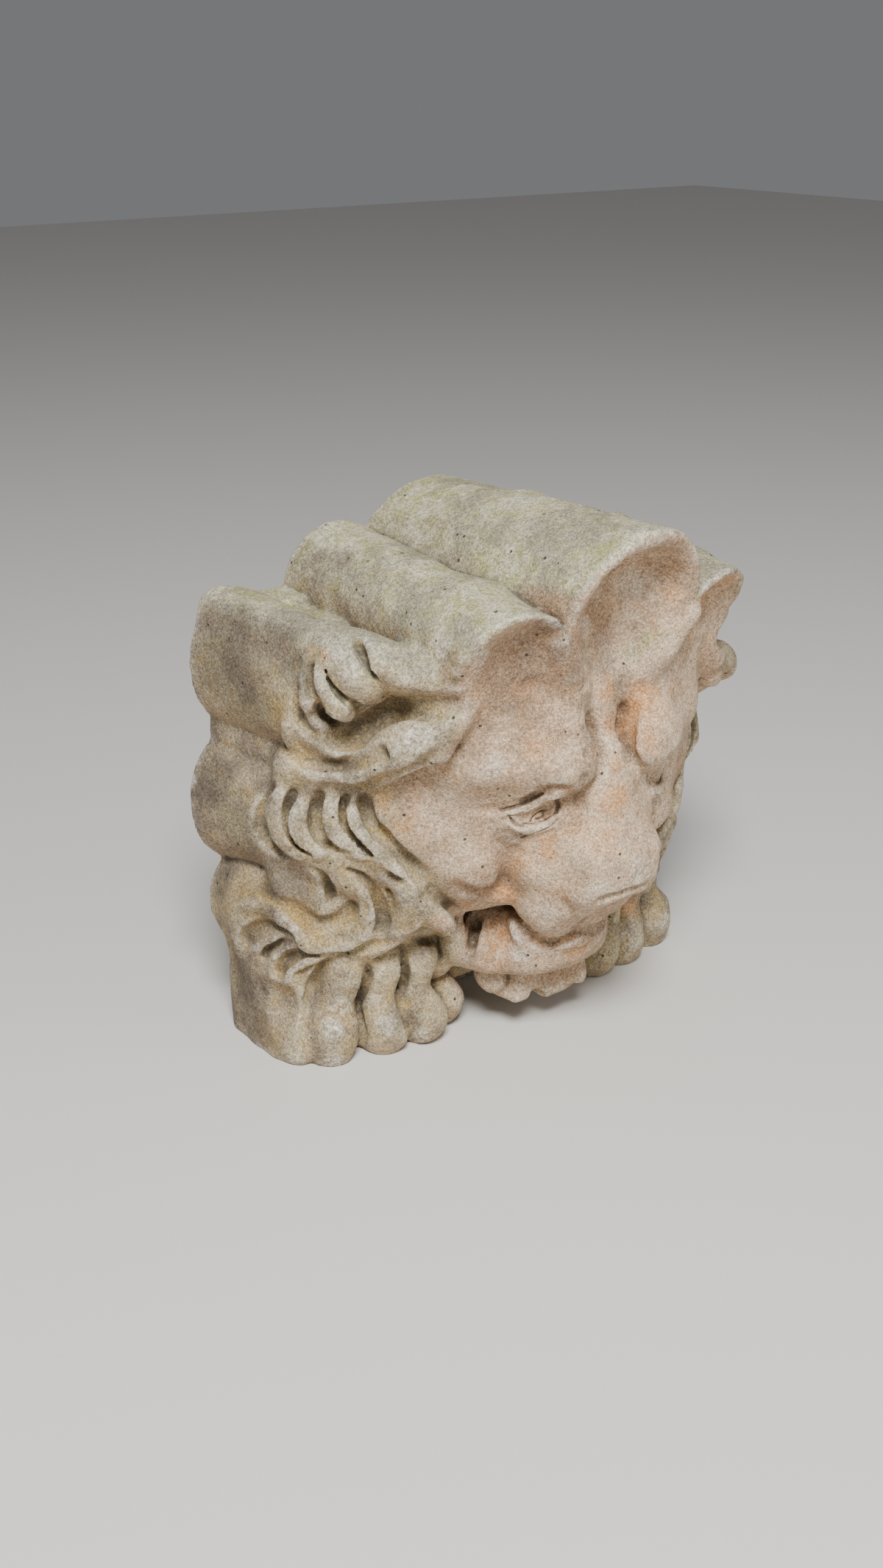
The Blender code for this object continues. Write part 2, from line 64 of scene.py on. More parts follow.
# The part of the grid within reach of a form, and its three coordinate arrays.
def nearby(field, low, high):
    window = []
    for k in range(3):
        first = max(0, int(np.floor((low[k] - field["low"][k]) / field["step"])))
        last = min(len(field["axes"][k]), int(np.ceil((high[k] - field["low"][k]) / field["step"])) + 1)
        window.append(slice(first, max(first, last)))
    x, y, z = [field["axes"][k][window[k]].astype(np.float32) for k in range(3)]
    return tuple(window), (x[:, None, None], y[None, :, None], z[None, None, :])


# Join or cut: the smaller of the two distances, or the larger of one and the other turned inside out,
# with the seam rounded over the blend width.
def merge(field, window, distance, blend, cut):
    old = field["samples"][window]
    sign = -1.0 if cut else 1.0
    width = max(blend, 0.01)
    share = np.clip(0.5 + 0.5 * (sign * old - distance) / width, 0, 1)
    mixed = sign * old * (1 - share) + distance * share - width * share * (1 - share)
    field["samples"][window] = sign * mixed


# Offset as a turned form sees it: the form is turned about x, then y, then z, by degrees.
def turned(offset, turn):
    ax, ay, az = np.radians(turn)
    aboutX = np.array([[1, 0, 0], [0, np.cos(ax), -np.sin(ax)], [0, np.sin(ax), np.cos(ax)]])
    aboutY = np.array([[np.cos(ay), 0, np.sin(ay)], [0, 1, 0], [-np.sin(ay), 0, np.cos(ay)]])
    aboutZ = np.array([[np.cos(az), -np.sin(az), 0], [np.sin(az), np.cos(az), 0], [0, 0, 1]])
    matrix = (aboutZ @ aboutY @ aboutX).T.astype(np.float32)
    return [matrix[k, 0] * offset[0] + matrix[k, 1] * offset[1] + matrix[k, 2] * offset[2]
            for k in range(3)]


# Egg: with q the offset over the radii, distance = |q| (|q| - 1) / |q over the radii|.
def ball(field, centre, radii, blend, turn=(0, 0, 0), cut=False):
    reach = max(radii) + blend + 3 * field["step"]
    window, grid = nearby(field, np.subtract(centre, reach), np.add(centre, reach))
    offset = turned([axis - np.float32(c) for axis, c in zip(grid, centre)], turn)
    inner = np.sqrt(sum((part / r) ** 2 for part, r in zip(offset, radii))) + 1e-6
    slope = np.sqrt(sum((part / r**2) ** 2 for part, r in zip(offset, radii))) + 1e-6
    merge(field, window, inner * (inner - 1) / slope, blend, cut)


# Block: the distance to a smaller box, less the rounding of its edges.
def block(field, centre, half, rounding, blend, turn=(0, 0, 0), cut=False):
    reach = np.linalg.norm(half) + blend + 3 * field["step"]
    window, grid = nearby(field, np.subtract(centre, reach), np.add(centre, reach))
    offset = turned([axis - np.float32(c) for axis, c in zip(grid, centre)], turn)
    over = [np.abs(part) - np.float32(size - rounding) for part, size in zip(offset, half)]
    outside = np.sqrt(sum(np.maximum(part, 0) ** 2 for part in over))
    inside = np.minimum(np.maximum(np.maximum(over[0], over[1]), over[2]), 0)
    merge(field, window, outside + inside - rounding, blend, cut)


# Smooth line through rows of numbers: a cubic between each two, with the slope of their neighbours.
def smoothRows(rows, pieces):
    rows = np.array(rows, float)
    rows = np.vstack([2 * rows[0] - rows[1], rows, 2 * rows[-1] - rows[-2]])
    spans = len(rows) - 3
    along = np.linspace(0, spans, spans * pieces + 1)
    index = np.minimum(along.astype(int), spans - 1)
    t = (along - index)[:, None]
    a, b, c, d = rows[index], rows[index + 1], rows[index + 2], rows[index + 3]
    return 0.5 * (2 * b + (c - a) * t + (2 * a - 5 * b + 4 * c - d) * t**2 + (3 * b - a - 3 * c + d) * t**3)


# Band: the distance to the nearest place on a smooth line, less the radius there. flat squeezes it across.
def band(field, rows, blend, cut=False, flat=1.0, pieces=4):
    line = np.array(rows, float) if len(rows) == 2 else smoothRows(rows, pieces)
    reach = line[:, 3].max() + blend + 3 * field["step"]
    window, grid = nearby(field, line[:, :3].min(0) - reach, line[:, :3].max(0) + reach)
    nearest = np.float32(farAway)
    for start, end in zip(line[:-1], line[1:]):
        step = (end - start).astype(np.float32)
        offset = [axis - np.float32(c) for axis, c in zip(grid, start)]
        length = max(float(step[:3] @ step[:3]), 1e-6)
        share = np.clip(sum(part * s for part, s in zip(offset, step)) / np.float32(length), 0, 1)
        away = [part - share * s for part, s in zip(offset, step)]
        gap = np.sqrt((away[0] * np.float32(flat)) ** 2 + away[1] ** 2 + away[2] ** 2)
        nearest = np.minimum(nearest, gap - (np.float32(start[3]) + share * step[3]))
    merge(field, window, nearest, blend, cut)


# Shell roll: a cone that runs from the back to the front, cut off by a slanting plane. Its distance is the
# larger of the cone's and the plane's, rounded over the rim.
def shellRoll(field, back, front, facing, offset, blend, rim=5.0):
    window, grid = nearby(field, fieldLow, fieldHigh)
    t = (backPlane - grid[1]) / (backPlane - rollFront)
    x, z, radius = [a + (b - a) * t for a, b in zip(back, front)]
    side = np.sqrt((grid[0] - x) ** 2 + (grid[2] - z) ** 2) - radius
    length = np.linalg.norm(facing)
    end = (sum(axis * n for axis, n in zip(grid, facing)) - offset) / length
    share = np.clip(0.5 - 0.5 * (side - end) / rim, 0, 1)
    mixed = side * (1 - share) + end * share + rim * share * (1 - share)
    merge(field, window, mixed.astype(np.float32), blend, False)


# Canopy: the centre roll and one on each side of it are cut off aslant like shells. Four lower ones follow
# on each side, with the block of the stone behind them all.
canopy = {
    "core": (block, (0, 34, 112), (96, 32, 98), 14, 0),
    "back slab": (block, (0, 52, 118), (108, 14, 96), 8, 2),
    "foot": (block, (0, 45, 24), (72, 19, 26), 6, 2),
    "leg block": (block, (-92, 37, 23), (31, 28, 33), 13, 6),
    "leg": (band, [(-101, 40, 70, 30), (-97, 38, 46, 26), (-94, 38, 26, 25)], 8),
    "centre roll": (shellRoll, (0, 208, 45), (0, 224.6, 35.4), (0, -1, -0.38), -0.2, 0, 3.5),
    "second roll": (shellRoll, (-53.6, 211, 28.5), (-55, 207, 23), (-0.218, -1, -0.6), -40.8, 1, 3.5),
    "third roll": (band, [(-91, 72, 199, 12), (-75, -48, 187, 10)], 1),
    "fourth roll": (band, [(-111, 72, 186, 33), (-98, -2, 183, 30)], 2, False, 1.45),
    "peak of the fourth": (band, [(-121, 72, 212, 6), (-106, -4, 208, 7)], 9),
    "seam under the fourth": (band, [(-106, 72, 153, 19.5), (-92, -2, 152, 18.5)], 1.5),
    "fifth roll": (band, [(-110, 72, 120, 34), (-94, 12, 119, 32)], 2, False, 1.22),
    "sixth roll": (band, [(-108, 72, 68, 25), (-98, 20, 66, 23)], 7, False, 1.1),
    "upper edge of the ear": (band, [(-104, -8, 206, 11), (-94, -24, 204, 11), (-84, -42, 200, 9),
                                     (-73, -58, 196, 6)], 5),
}
scoops = {
    "centre": (band, [(0, -94, 222, 29), (0, -88, 205, 25), (0, -80, 190, 18), (0, -78, 178, 11)], 5),
    "second": (band, [(-57, -88, 205, 22), (-56, -94, 188, 24)], 5),
    "before the face": (block, (0, -112, 136), (90, 50, 64), 10, 2),
}

# Face: rounded masses from the forehead down to the jaw, then the recess beside the jowl and the creases
# beside the bridge of the nose.
face = {
    "skull": (block, (0, 2, 138), (82, 50, 72), 42, 6),
    "top of the forehead": (ball, (-44, -42, 199), (32, 18, 25), 16),
    "forehead and brow": (block, (-37, -50, 171), (34, 19, 31), 18.5, 14, (-13, 0, -28)),
    "brow": (ball, (-25, -65, 155), (20, 17, 15), 8, (0, 0, -25)),
    "temple": (ball, (-60, -22, 166), (26, 28, 28), 12),
    "crest between the scoops": (band, [(-36, -79, 214, 5), (-29, -74, 202, 6.5), (-22, -67, 190, 9)], 6),
    "bridge": (band, [(0, -50, 205, 14), (0, -54, 190, 12), (0, -58, 174, 11.5), (0, -58.5, 160, 14.5),
                      (0, -56, 147, 22), (0, -52, 132, 28)], 5),
    "snout": (ball, (0, -46, 118), (36, 35, 25), 10),
    "nose": (block, (0, -68, 103), (25, 20, 17), 12, 8, (4, 0, 0)),
    "side of the snout": (ball, (-28, -46, 130), (24, 20, 20), 10),
    "side of the face": (ball, (-58, -18, 132), (25, 30, 36), 10),
    "edge of the face": (ball, (-72, -13, 132), (22, 26, 34), 8),
    "cheek": (ball, (-49, -33, 108), (20, 21, 20), 6),
    "muzzle": (ball, (-19, -50, 103), (20, 20, 15), 9),
    "upper lip": (ball, (0, -56, 86), (28, 21, 13), 3),
    "jowl": (ball, (-15, -52, 85), (18, 17, 21), 7),
    "fold of the cheek": (band, [(-58, -14, 86, 7), (-46, -26, 83, 8), (-34, -38, 86, 8),
                                 (-22, -48, 92, 8)], 4),
    "corner of the mouth": (band, [(-45, -16, 84, 6.5), (-44, -16, 66, 6), (-41, -14, 48, 7)], 4),
    "jaw": (ball, (0, -12, 50), (38, 30, 20), 5),
    "lip of the jaw": (band, [(-36, -12, 44, 8), (-29, -29, 46, 9), (-15, -40, 48, 11),
                              (0, -43, 50, 12)], 5),
    "chin": (ball, (0, -41, 59), (27, 18, 17), 5),
}
faceCuts = {
    "recess of the mouth": (ball, (-35, -49, 63), (8, 13, 11), 3),
    "beside the bridge": (band, [(-20, -81, 192, 1.5), (-16.5, -78, 185, 3), (-12.5, -75, 177, 3.8),
                                 (-10, -72, 168, 4.2), (-9.5, -72, 158, 4.2), (-11, -75, 149, 3.5),
                                 (-16, -77, 143, 2.5)], 3),
    "under the brow's edge": (band, [(-9.5, -69, 172, 2.5), (-8.5, -67, 163, 3.2), (-9, -69, 155, 3.2),
                                     (-10, -73, 149, 2.5)], 2),
}

# Ear: the thick lip under it and the swelling inside it, with the bowl cut between.
ear = {
    "rim": (band, [(-113, 5, 151, 7), (-105, -4, 148, 8.5), (-98, -14, 150, 9), (-91, -28, 159, 10),
                   (-84, -44, 171, 10), (-76, -53, 180, 9), (-70, -57, 190, 7)], 4),
    "swelling": (band, [(-92, -30, 166, 8), (-86, -40, 173, 8), (-79, -48, 180, 6)], 5),
}
earCuts = {
    "bowl": (band, [(-113, -10, 180, 5), (-105, -22, 177, 7.5), (-97, -36, 180, 8), (-87, -50, 186, 7),
                    (-78, -62, 191, 4.5)], 5),
}

# Mane and paws: the masses that the locks, curls and toes are chiselled from.
mane = {
    "outer locks": (band, [(-112, 9, 150, 9), (-112, 10, 134, 10), (-108, 8, 118, 10),
                           (-100, 4, 104, 10)], 5),
    "inner locks": (band, [(-103, -4, 150, 9), (-100, -3, 134, 10), (-96, -4, 118, 10),
                           (-90, -10, 106, 9)], 5),
    "outer curl": (band, [(-92, -11, 114, 7), (-84, -19, 105, 8), (-77, -26, 97, 8), (-75, -26, 84, 8),
                          (-78, -18, 71, 8), (-86, -8, 62, 8)], 3),
    "inner curl": (band, [(-97, -3, 102, 8), (-90, -12, 95, 9), (-86, -13, 82, 9), (-87, -7, 69, 9),
                          (-95, 3, 61, 8), (-102, 13, 62, 7), (-108, 21, 70, 7), (-115, 29, 74, 7),
                          (-121, 40, 71, 7)], 3),
    "heart of the curl": (band, [(-108, 18, 92, 13), (-101, 8, 89, 12), (-95, 3, 80, 11)], 5),
    "lower hair": (band, [(-120, 40, 55, 8), (-114, 28, 56, 9), (-107, 18, 54, 9), (-98, 8, 50, 8),
                          (-86, 0, 52, 8)], 5),
    "edge of the leg": (band, [(-98, 8, 50, 7), (-104, 14, 40, 8), (-108, 13, 30, 8), (-110, 11, 20, 9),
                               (-112, 12, 8, 10)], 4),
    "spike of hair": (band, [(-72, -18, 90, 10), (-66, -26, 82, 9), (-60, -34, 73, 4)], 4),
    "ledge over the toes": (band, [(-70, -4, 64, 9), (-56, -6, 62, 8), (-44, -6, 62, 7)], 4),
    "wall behind the toes": (band, [(-64, 0, 52, 9), (-52, -1, 50, 9), (-43, -2, 52, 7)], 4),
    "first toe": (band, [(-88, 14, 56, 9), (-90.5, 4.5, 45, 11), (-95.8, 5.6, 30, 9.2), (-99, 2, 15, 12),
                         (-100, 4, 8, 12)], 1.5),
    "second toe": (band, [(-74, 6, 58, 9), (-75.3, -3, 46, 10.5), (-77, -2, 30, 8.8), (-74, -4, 14, 12.5),
                          (-74, -2, 8, 12)], 1.5),
    "third toe": (band, [(-59, 4, 58, 8), (-59, -8, 46.5, 9.5), (-60, -8, 30, 7.4), (-55, -8, 13, 12),
                         (-54, -4, 8, 11)], 1.5),
    "between the toes": (band, [(-97, 17, 12, 14), (-75, 11, 12, 14), (-55, 7, 12, 12),
                                (-42, 9, 14, 9)], 4),
    "between the knuckles": (band, [(-90, 19, 42, 13), (-75, 11, 42, 13), (-59, 6, 42, 11),
                                    (-46, 8, 38, 8)], 4),
    "fourth toe": (band, [(-47, 8, 52, 7), (-46, -6, 42, 8), (-46, -3, 34, 6)], 1.5),
    "pad of the fourth toe": (band, [(-44, 4, 30, 5), (-39.6, -4, 17, 9), (-39, -1, 9, 9)], 1.5),
}


# Each form's own function joins it to the field, or cuts it out.
def shapeAll(field, forms, cut=False):
    for shaper, *numbers in forms.values():
        if cut:
            shaper(field, *numbers, cut=True)
        else:
            shaper(field, *numbers)


# The masses in order: each group of cuts comes after the forms that it goes into.
def carveMasses(step):
    field = makeField(step)
    shapeAll(field, canopy)
    shapeAll(field, scoops, cut=True)
    shapeAll(field, face)
    shapeAll(field, faceCuts, cut=True)
    shapeAll(field, ear)
    shapeAll(field, earCuts, cut=True)
    shapeAll(field, mane)
    return field


# Chisel strokes: each has a blend width, then its points on the masses, each with a radius. A deep groove
# is cut a second time along its mouth, nearer the skin.
ridges = {
    "lock 1 ridge": (2, [(-116, 7.2, 145.3, 5), (-118.6, 8, 140.1, 5.6), (-119.7, 9.3, 135.3, 6),
                         (-119.9, 10.5, 129.4, 6.1), (-119.9, 10.2, 124.1, 6), (-119.2, 7.9, 120.1, 6.1),
                         (-117.9, 4.2, 117, 6), (-116, -0.1, 114.7, 5.6), (-111, -2.3, 112.6, 5)]),
    "lock 2 ridge": (2, [(-109.8, -2.4, 146.4, 5), (-111.5, 0.6, 139, 5.5), (-113.8, 0.2, 133.8, 6),
                         (-115, -0.5, 129.5, 6.3), (-115.3, -1.3, 125.4, 6.5), (-114.6, -3.6, 121.8, 6.3),
                         (-113.2, -6.3, 118.8, 6), (-111.1, -9.1, 116.7, 5.5), (-106.3, -9, 114.5, 5)]),
    "lock 3 ridge": (2, [(-103.6, -11.5, 146.2, 5), (-104.9, -10.5, 140.1, 5.5), (-105.7, -10.8, 134.3, 6),
                         (-105.9, -11.9, 129.8, 6.3), (-105.2, -13.1, 125.7, 6.5),
                         (-103.2, -15.2, 122, 6.3), (-100, -17.1, 118.5, 6), (-95.4, -18.1, 115.1, 5.5),
                         (-89, -17.3, 111.2, 5)]),
    "lock 4 ridge": (2, [(-98.5, -19.5, 147.6, 4), (-96.6, -14, 137.3, 4.6), (-98, -16.1, 132.6, 5),
                         (-97.6, -18.1, 127.9, 5), (-95.4, -19.7, 122.6, 5), (-90.8, -21.2, 116.4, 5.5),
                         (-86.1, -23.7, 110.2, 6), (-82, -27.1, 105, 6.1), (-78.6, -29.8, 100.3, 6),
                         (-76.5, -31, 95.5, 6), (-74.2, -28.7, 89.8, 6)]),
    "outer S edge": (2, [(-76.3, -28.9, 103.4, 3), (-74.8, -31.1, 99.2, 3), (-73, -32.1, 94.8, 3),
                         (-73.2, -32.8, 90.4, 3), (-73.9, -32.7, 86, 3), (-74.5, -31.8, 81.6, 3),
                         (-75.5, -29.9, 77.4, 3), (-77.9, -27.7, 74.5, 3), (-79.4, -23.4, 71.7, 3)]),
    "inner S ridge": (2, [(-125.8, 35.7, 75.2, 4), (-125.5, 29.9, 77.7, 4.6), (-123.3, 25.5, 78.9, 5),
                          (-120.7, 21.3, 78.9, 5.1), (-118.3, 17.1, 77.9, 5), (-116.5, 13.2, 75.3, 5),
                          (-114.9, 9.5, 72.1, 5), (-113.5, 6.4, 68.9, 5), (-111.4, 3.7, 65.7, 5),
                          (-107.7, 1.7, 62.6, 5), (-102.7, 0.2, 60.3, 5), (-97.7, -3.7, 61.2, 5),
                          (-94, -8.8, 64.5, 5), (-91.2, -12.6, 69, 5), (-87.6, -13.8, 74.1, 5)]),
    "curl a ridge": (2, [(-121.6, 30.8, 45.7, 3), (-124, 28.6, 51.5, 3.6), (-124.6, 26.6, 56.5, 4),
                         (-123.6, 23.9, 60.4, 4.1), (-121.9, 20.7, 63.4, 4), (-119.6, 17.6, 64.5, 4),
                         (-115.1, 15.7, 64.7, 4)]),
    "curl d ridge": (2, [(-115.5, 14.2, 43.4, 3), (-115.2, 12.1, 46.6, 3.6), (-113.8, 10.5, 49.8, 4),
                         (-111.9, 7.9, 52.8, 4.1), (-109.4, 5.1, 55.3, 4), (-106.2, 3, 56, 4),
                         (-102, 1.5, 55.7, 4), (-97.4, -0.8, 56.3, 4), (-92, -2.9, 58.1, 4)]),
    "spike": (1.5, [(-75.1, -29.6, 91.4, 5), (-72.4, -31.1, 87.1, 5.7), (-68, -31.9, 82.5, 6),
                    (-64.9, -34.3, 78.7, 5.2), (-62.5, -36.2, 75.3, 4), (-60.5, -36.8, 73, 3.2)]),
    "tuft block": (3, [(-103.9, -11.4, 207.9, 8), (-104.8, -16.4, 207.5, 8.6), (-104.1, -19.6, 205.1, 9),
                       (-102.9, -22.7, 201.1, 8.7), (-100.9, -25.4, 196.6, 8), (-96.6, -28, 194.4, 7.1),
                       (-89.4, -22.8, 189.3, 6)]),
    "right tuft": (2, [(-95.1, -25.9, 208.2, 6), (-96, -31.7, 207.9, 6.1), (-95.2, -35.4, 205.7, 6),
                       (-93.8, -38.4, 203.3, 5.6), (-91.8, -41.6, 201.3, 5), (-88.7, -45.7, 200.3, 4.5),
                       (-84.1, -48.9, 199.4, 4)]),
    "tuft a ridge": (1.5, [(-109.3, -13.2, 206.7, 3.5), (-111.1, -14.6, 201.8, 4.1),
                           (-112, -16, 196.6, 4.5), (-112.5, -18.6, 192.7, 4.6),
                           (-111.9, -21.5, 189.2, 4.5), (-109.6, -24.7, 185.8, 4.6),
                           (-98.1, -16.5, 178.5, 4.5), (-94.6, -21.9, 181, 4.1),
                           (-91.1, -25.5, 184.8, 3.5)]),
    "tuft b ridge": (1.5, [(-112.5, -7.1, 195.4, 3.5), (-115.3, -8.7, 191.5, 4.1),
                           (-116.2, -9.6, 187.2, 4.5), (-112.9, -4, 179.2, 4.6), (-112.3, -7.5, 174.7, 4.5),
                           (-110.3, -11.2, 172.4, 4.1), (-106.6, -12.8, 168.3, 3.5)]),
    "tuft c ridge": (1.5, [(-115.8, 1.6, 178.2, 3.5), (-116.7, 1.9, 172.6, 4.1), (-115.3, 3.4, 166.9, 4.5),
                           (-112.8, 3.8, 162, 4.6), (-110.7, 1.2, 158.8, 4.5), (-108.7, -5.5, 159.3, 4.1),
                           (-105.4, -10.8, 160.9, 3.5)]),
    "ear bulge": (3, [(-90.6, -33.7, 164.1, 9), (-91.4, -39.5, 168.3, 10.2), (-89.2, -43.8, 170.5, 11),
                      (-86.3, -47.5, 172.7, 10.2), (-80.5, -50, 171.3, 9)]),
    "rim lip": (2, [(-115.5, 3.9, 152.6, 4), (-112.8, -1.8, 151.8, 4.6), (-110.5, -8.2, 151.7, 5),
                    (-106.9, -13.4, 151.6, 5.1), (-103.1, -19.5, 152.5, 5), (-100.3, -26.5, 155.3, 4.6),
                    (-97.8, -33, 158.8, 4), (-95.9, -37.9, 162.3, 3.5), (-93, -41.4, 165.9, 3)]),
    "lid fold": (1, [(-52.3, -51, 133, 1.6), (-48.7, -55, 132.9, 2), (-45.2, -58.5, 133.3, 2.4),
                     (-41.7, -61.1, 134.8, 2.6), (-38, -63.5, 136.9, 2.8), (-35.2, -66.6, 140.1, 2.9),
                     (-34.8, -71.9, 144, 2.8), (-32.4, -73.8, 144, 2.4), (-27.5, -71.9, 142.9, 2)]),
    "lower lid": (1, [(-44.3, -57.5, 128.5, 1.9), (-43.4, -59.7, 126.9, 2.2), (-41.4, -60.9, 125.5, 2.4),
                      (-38.6, -62.3, 124.6, 2.5), (-35.6, -64, 124.4, 2.6), (-32.9, -65.7, 125.2, 2.5),
                      (-30.5, -67.2, 126.6, 2.4), (-28.5, -68, 128.2, 2.2), (-25.8, -67.3, 129.5, 1.9)]),
    "recess ridge": (2, [(-16.6, -23.4, 61.7, 4), (-20.4, -32.6, 63.4, 4), (-24.4, -39.5, 63.5, 4),
                         (-24.8, -42.9, 60.8, 4), (-22.1, -43.7, 56.7, 4)]),
}
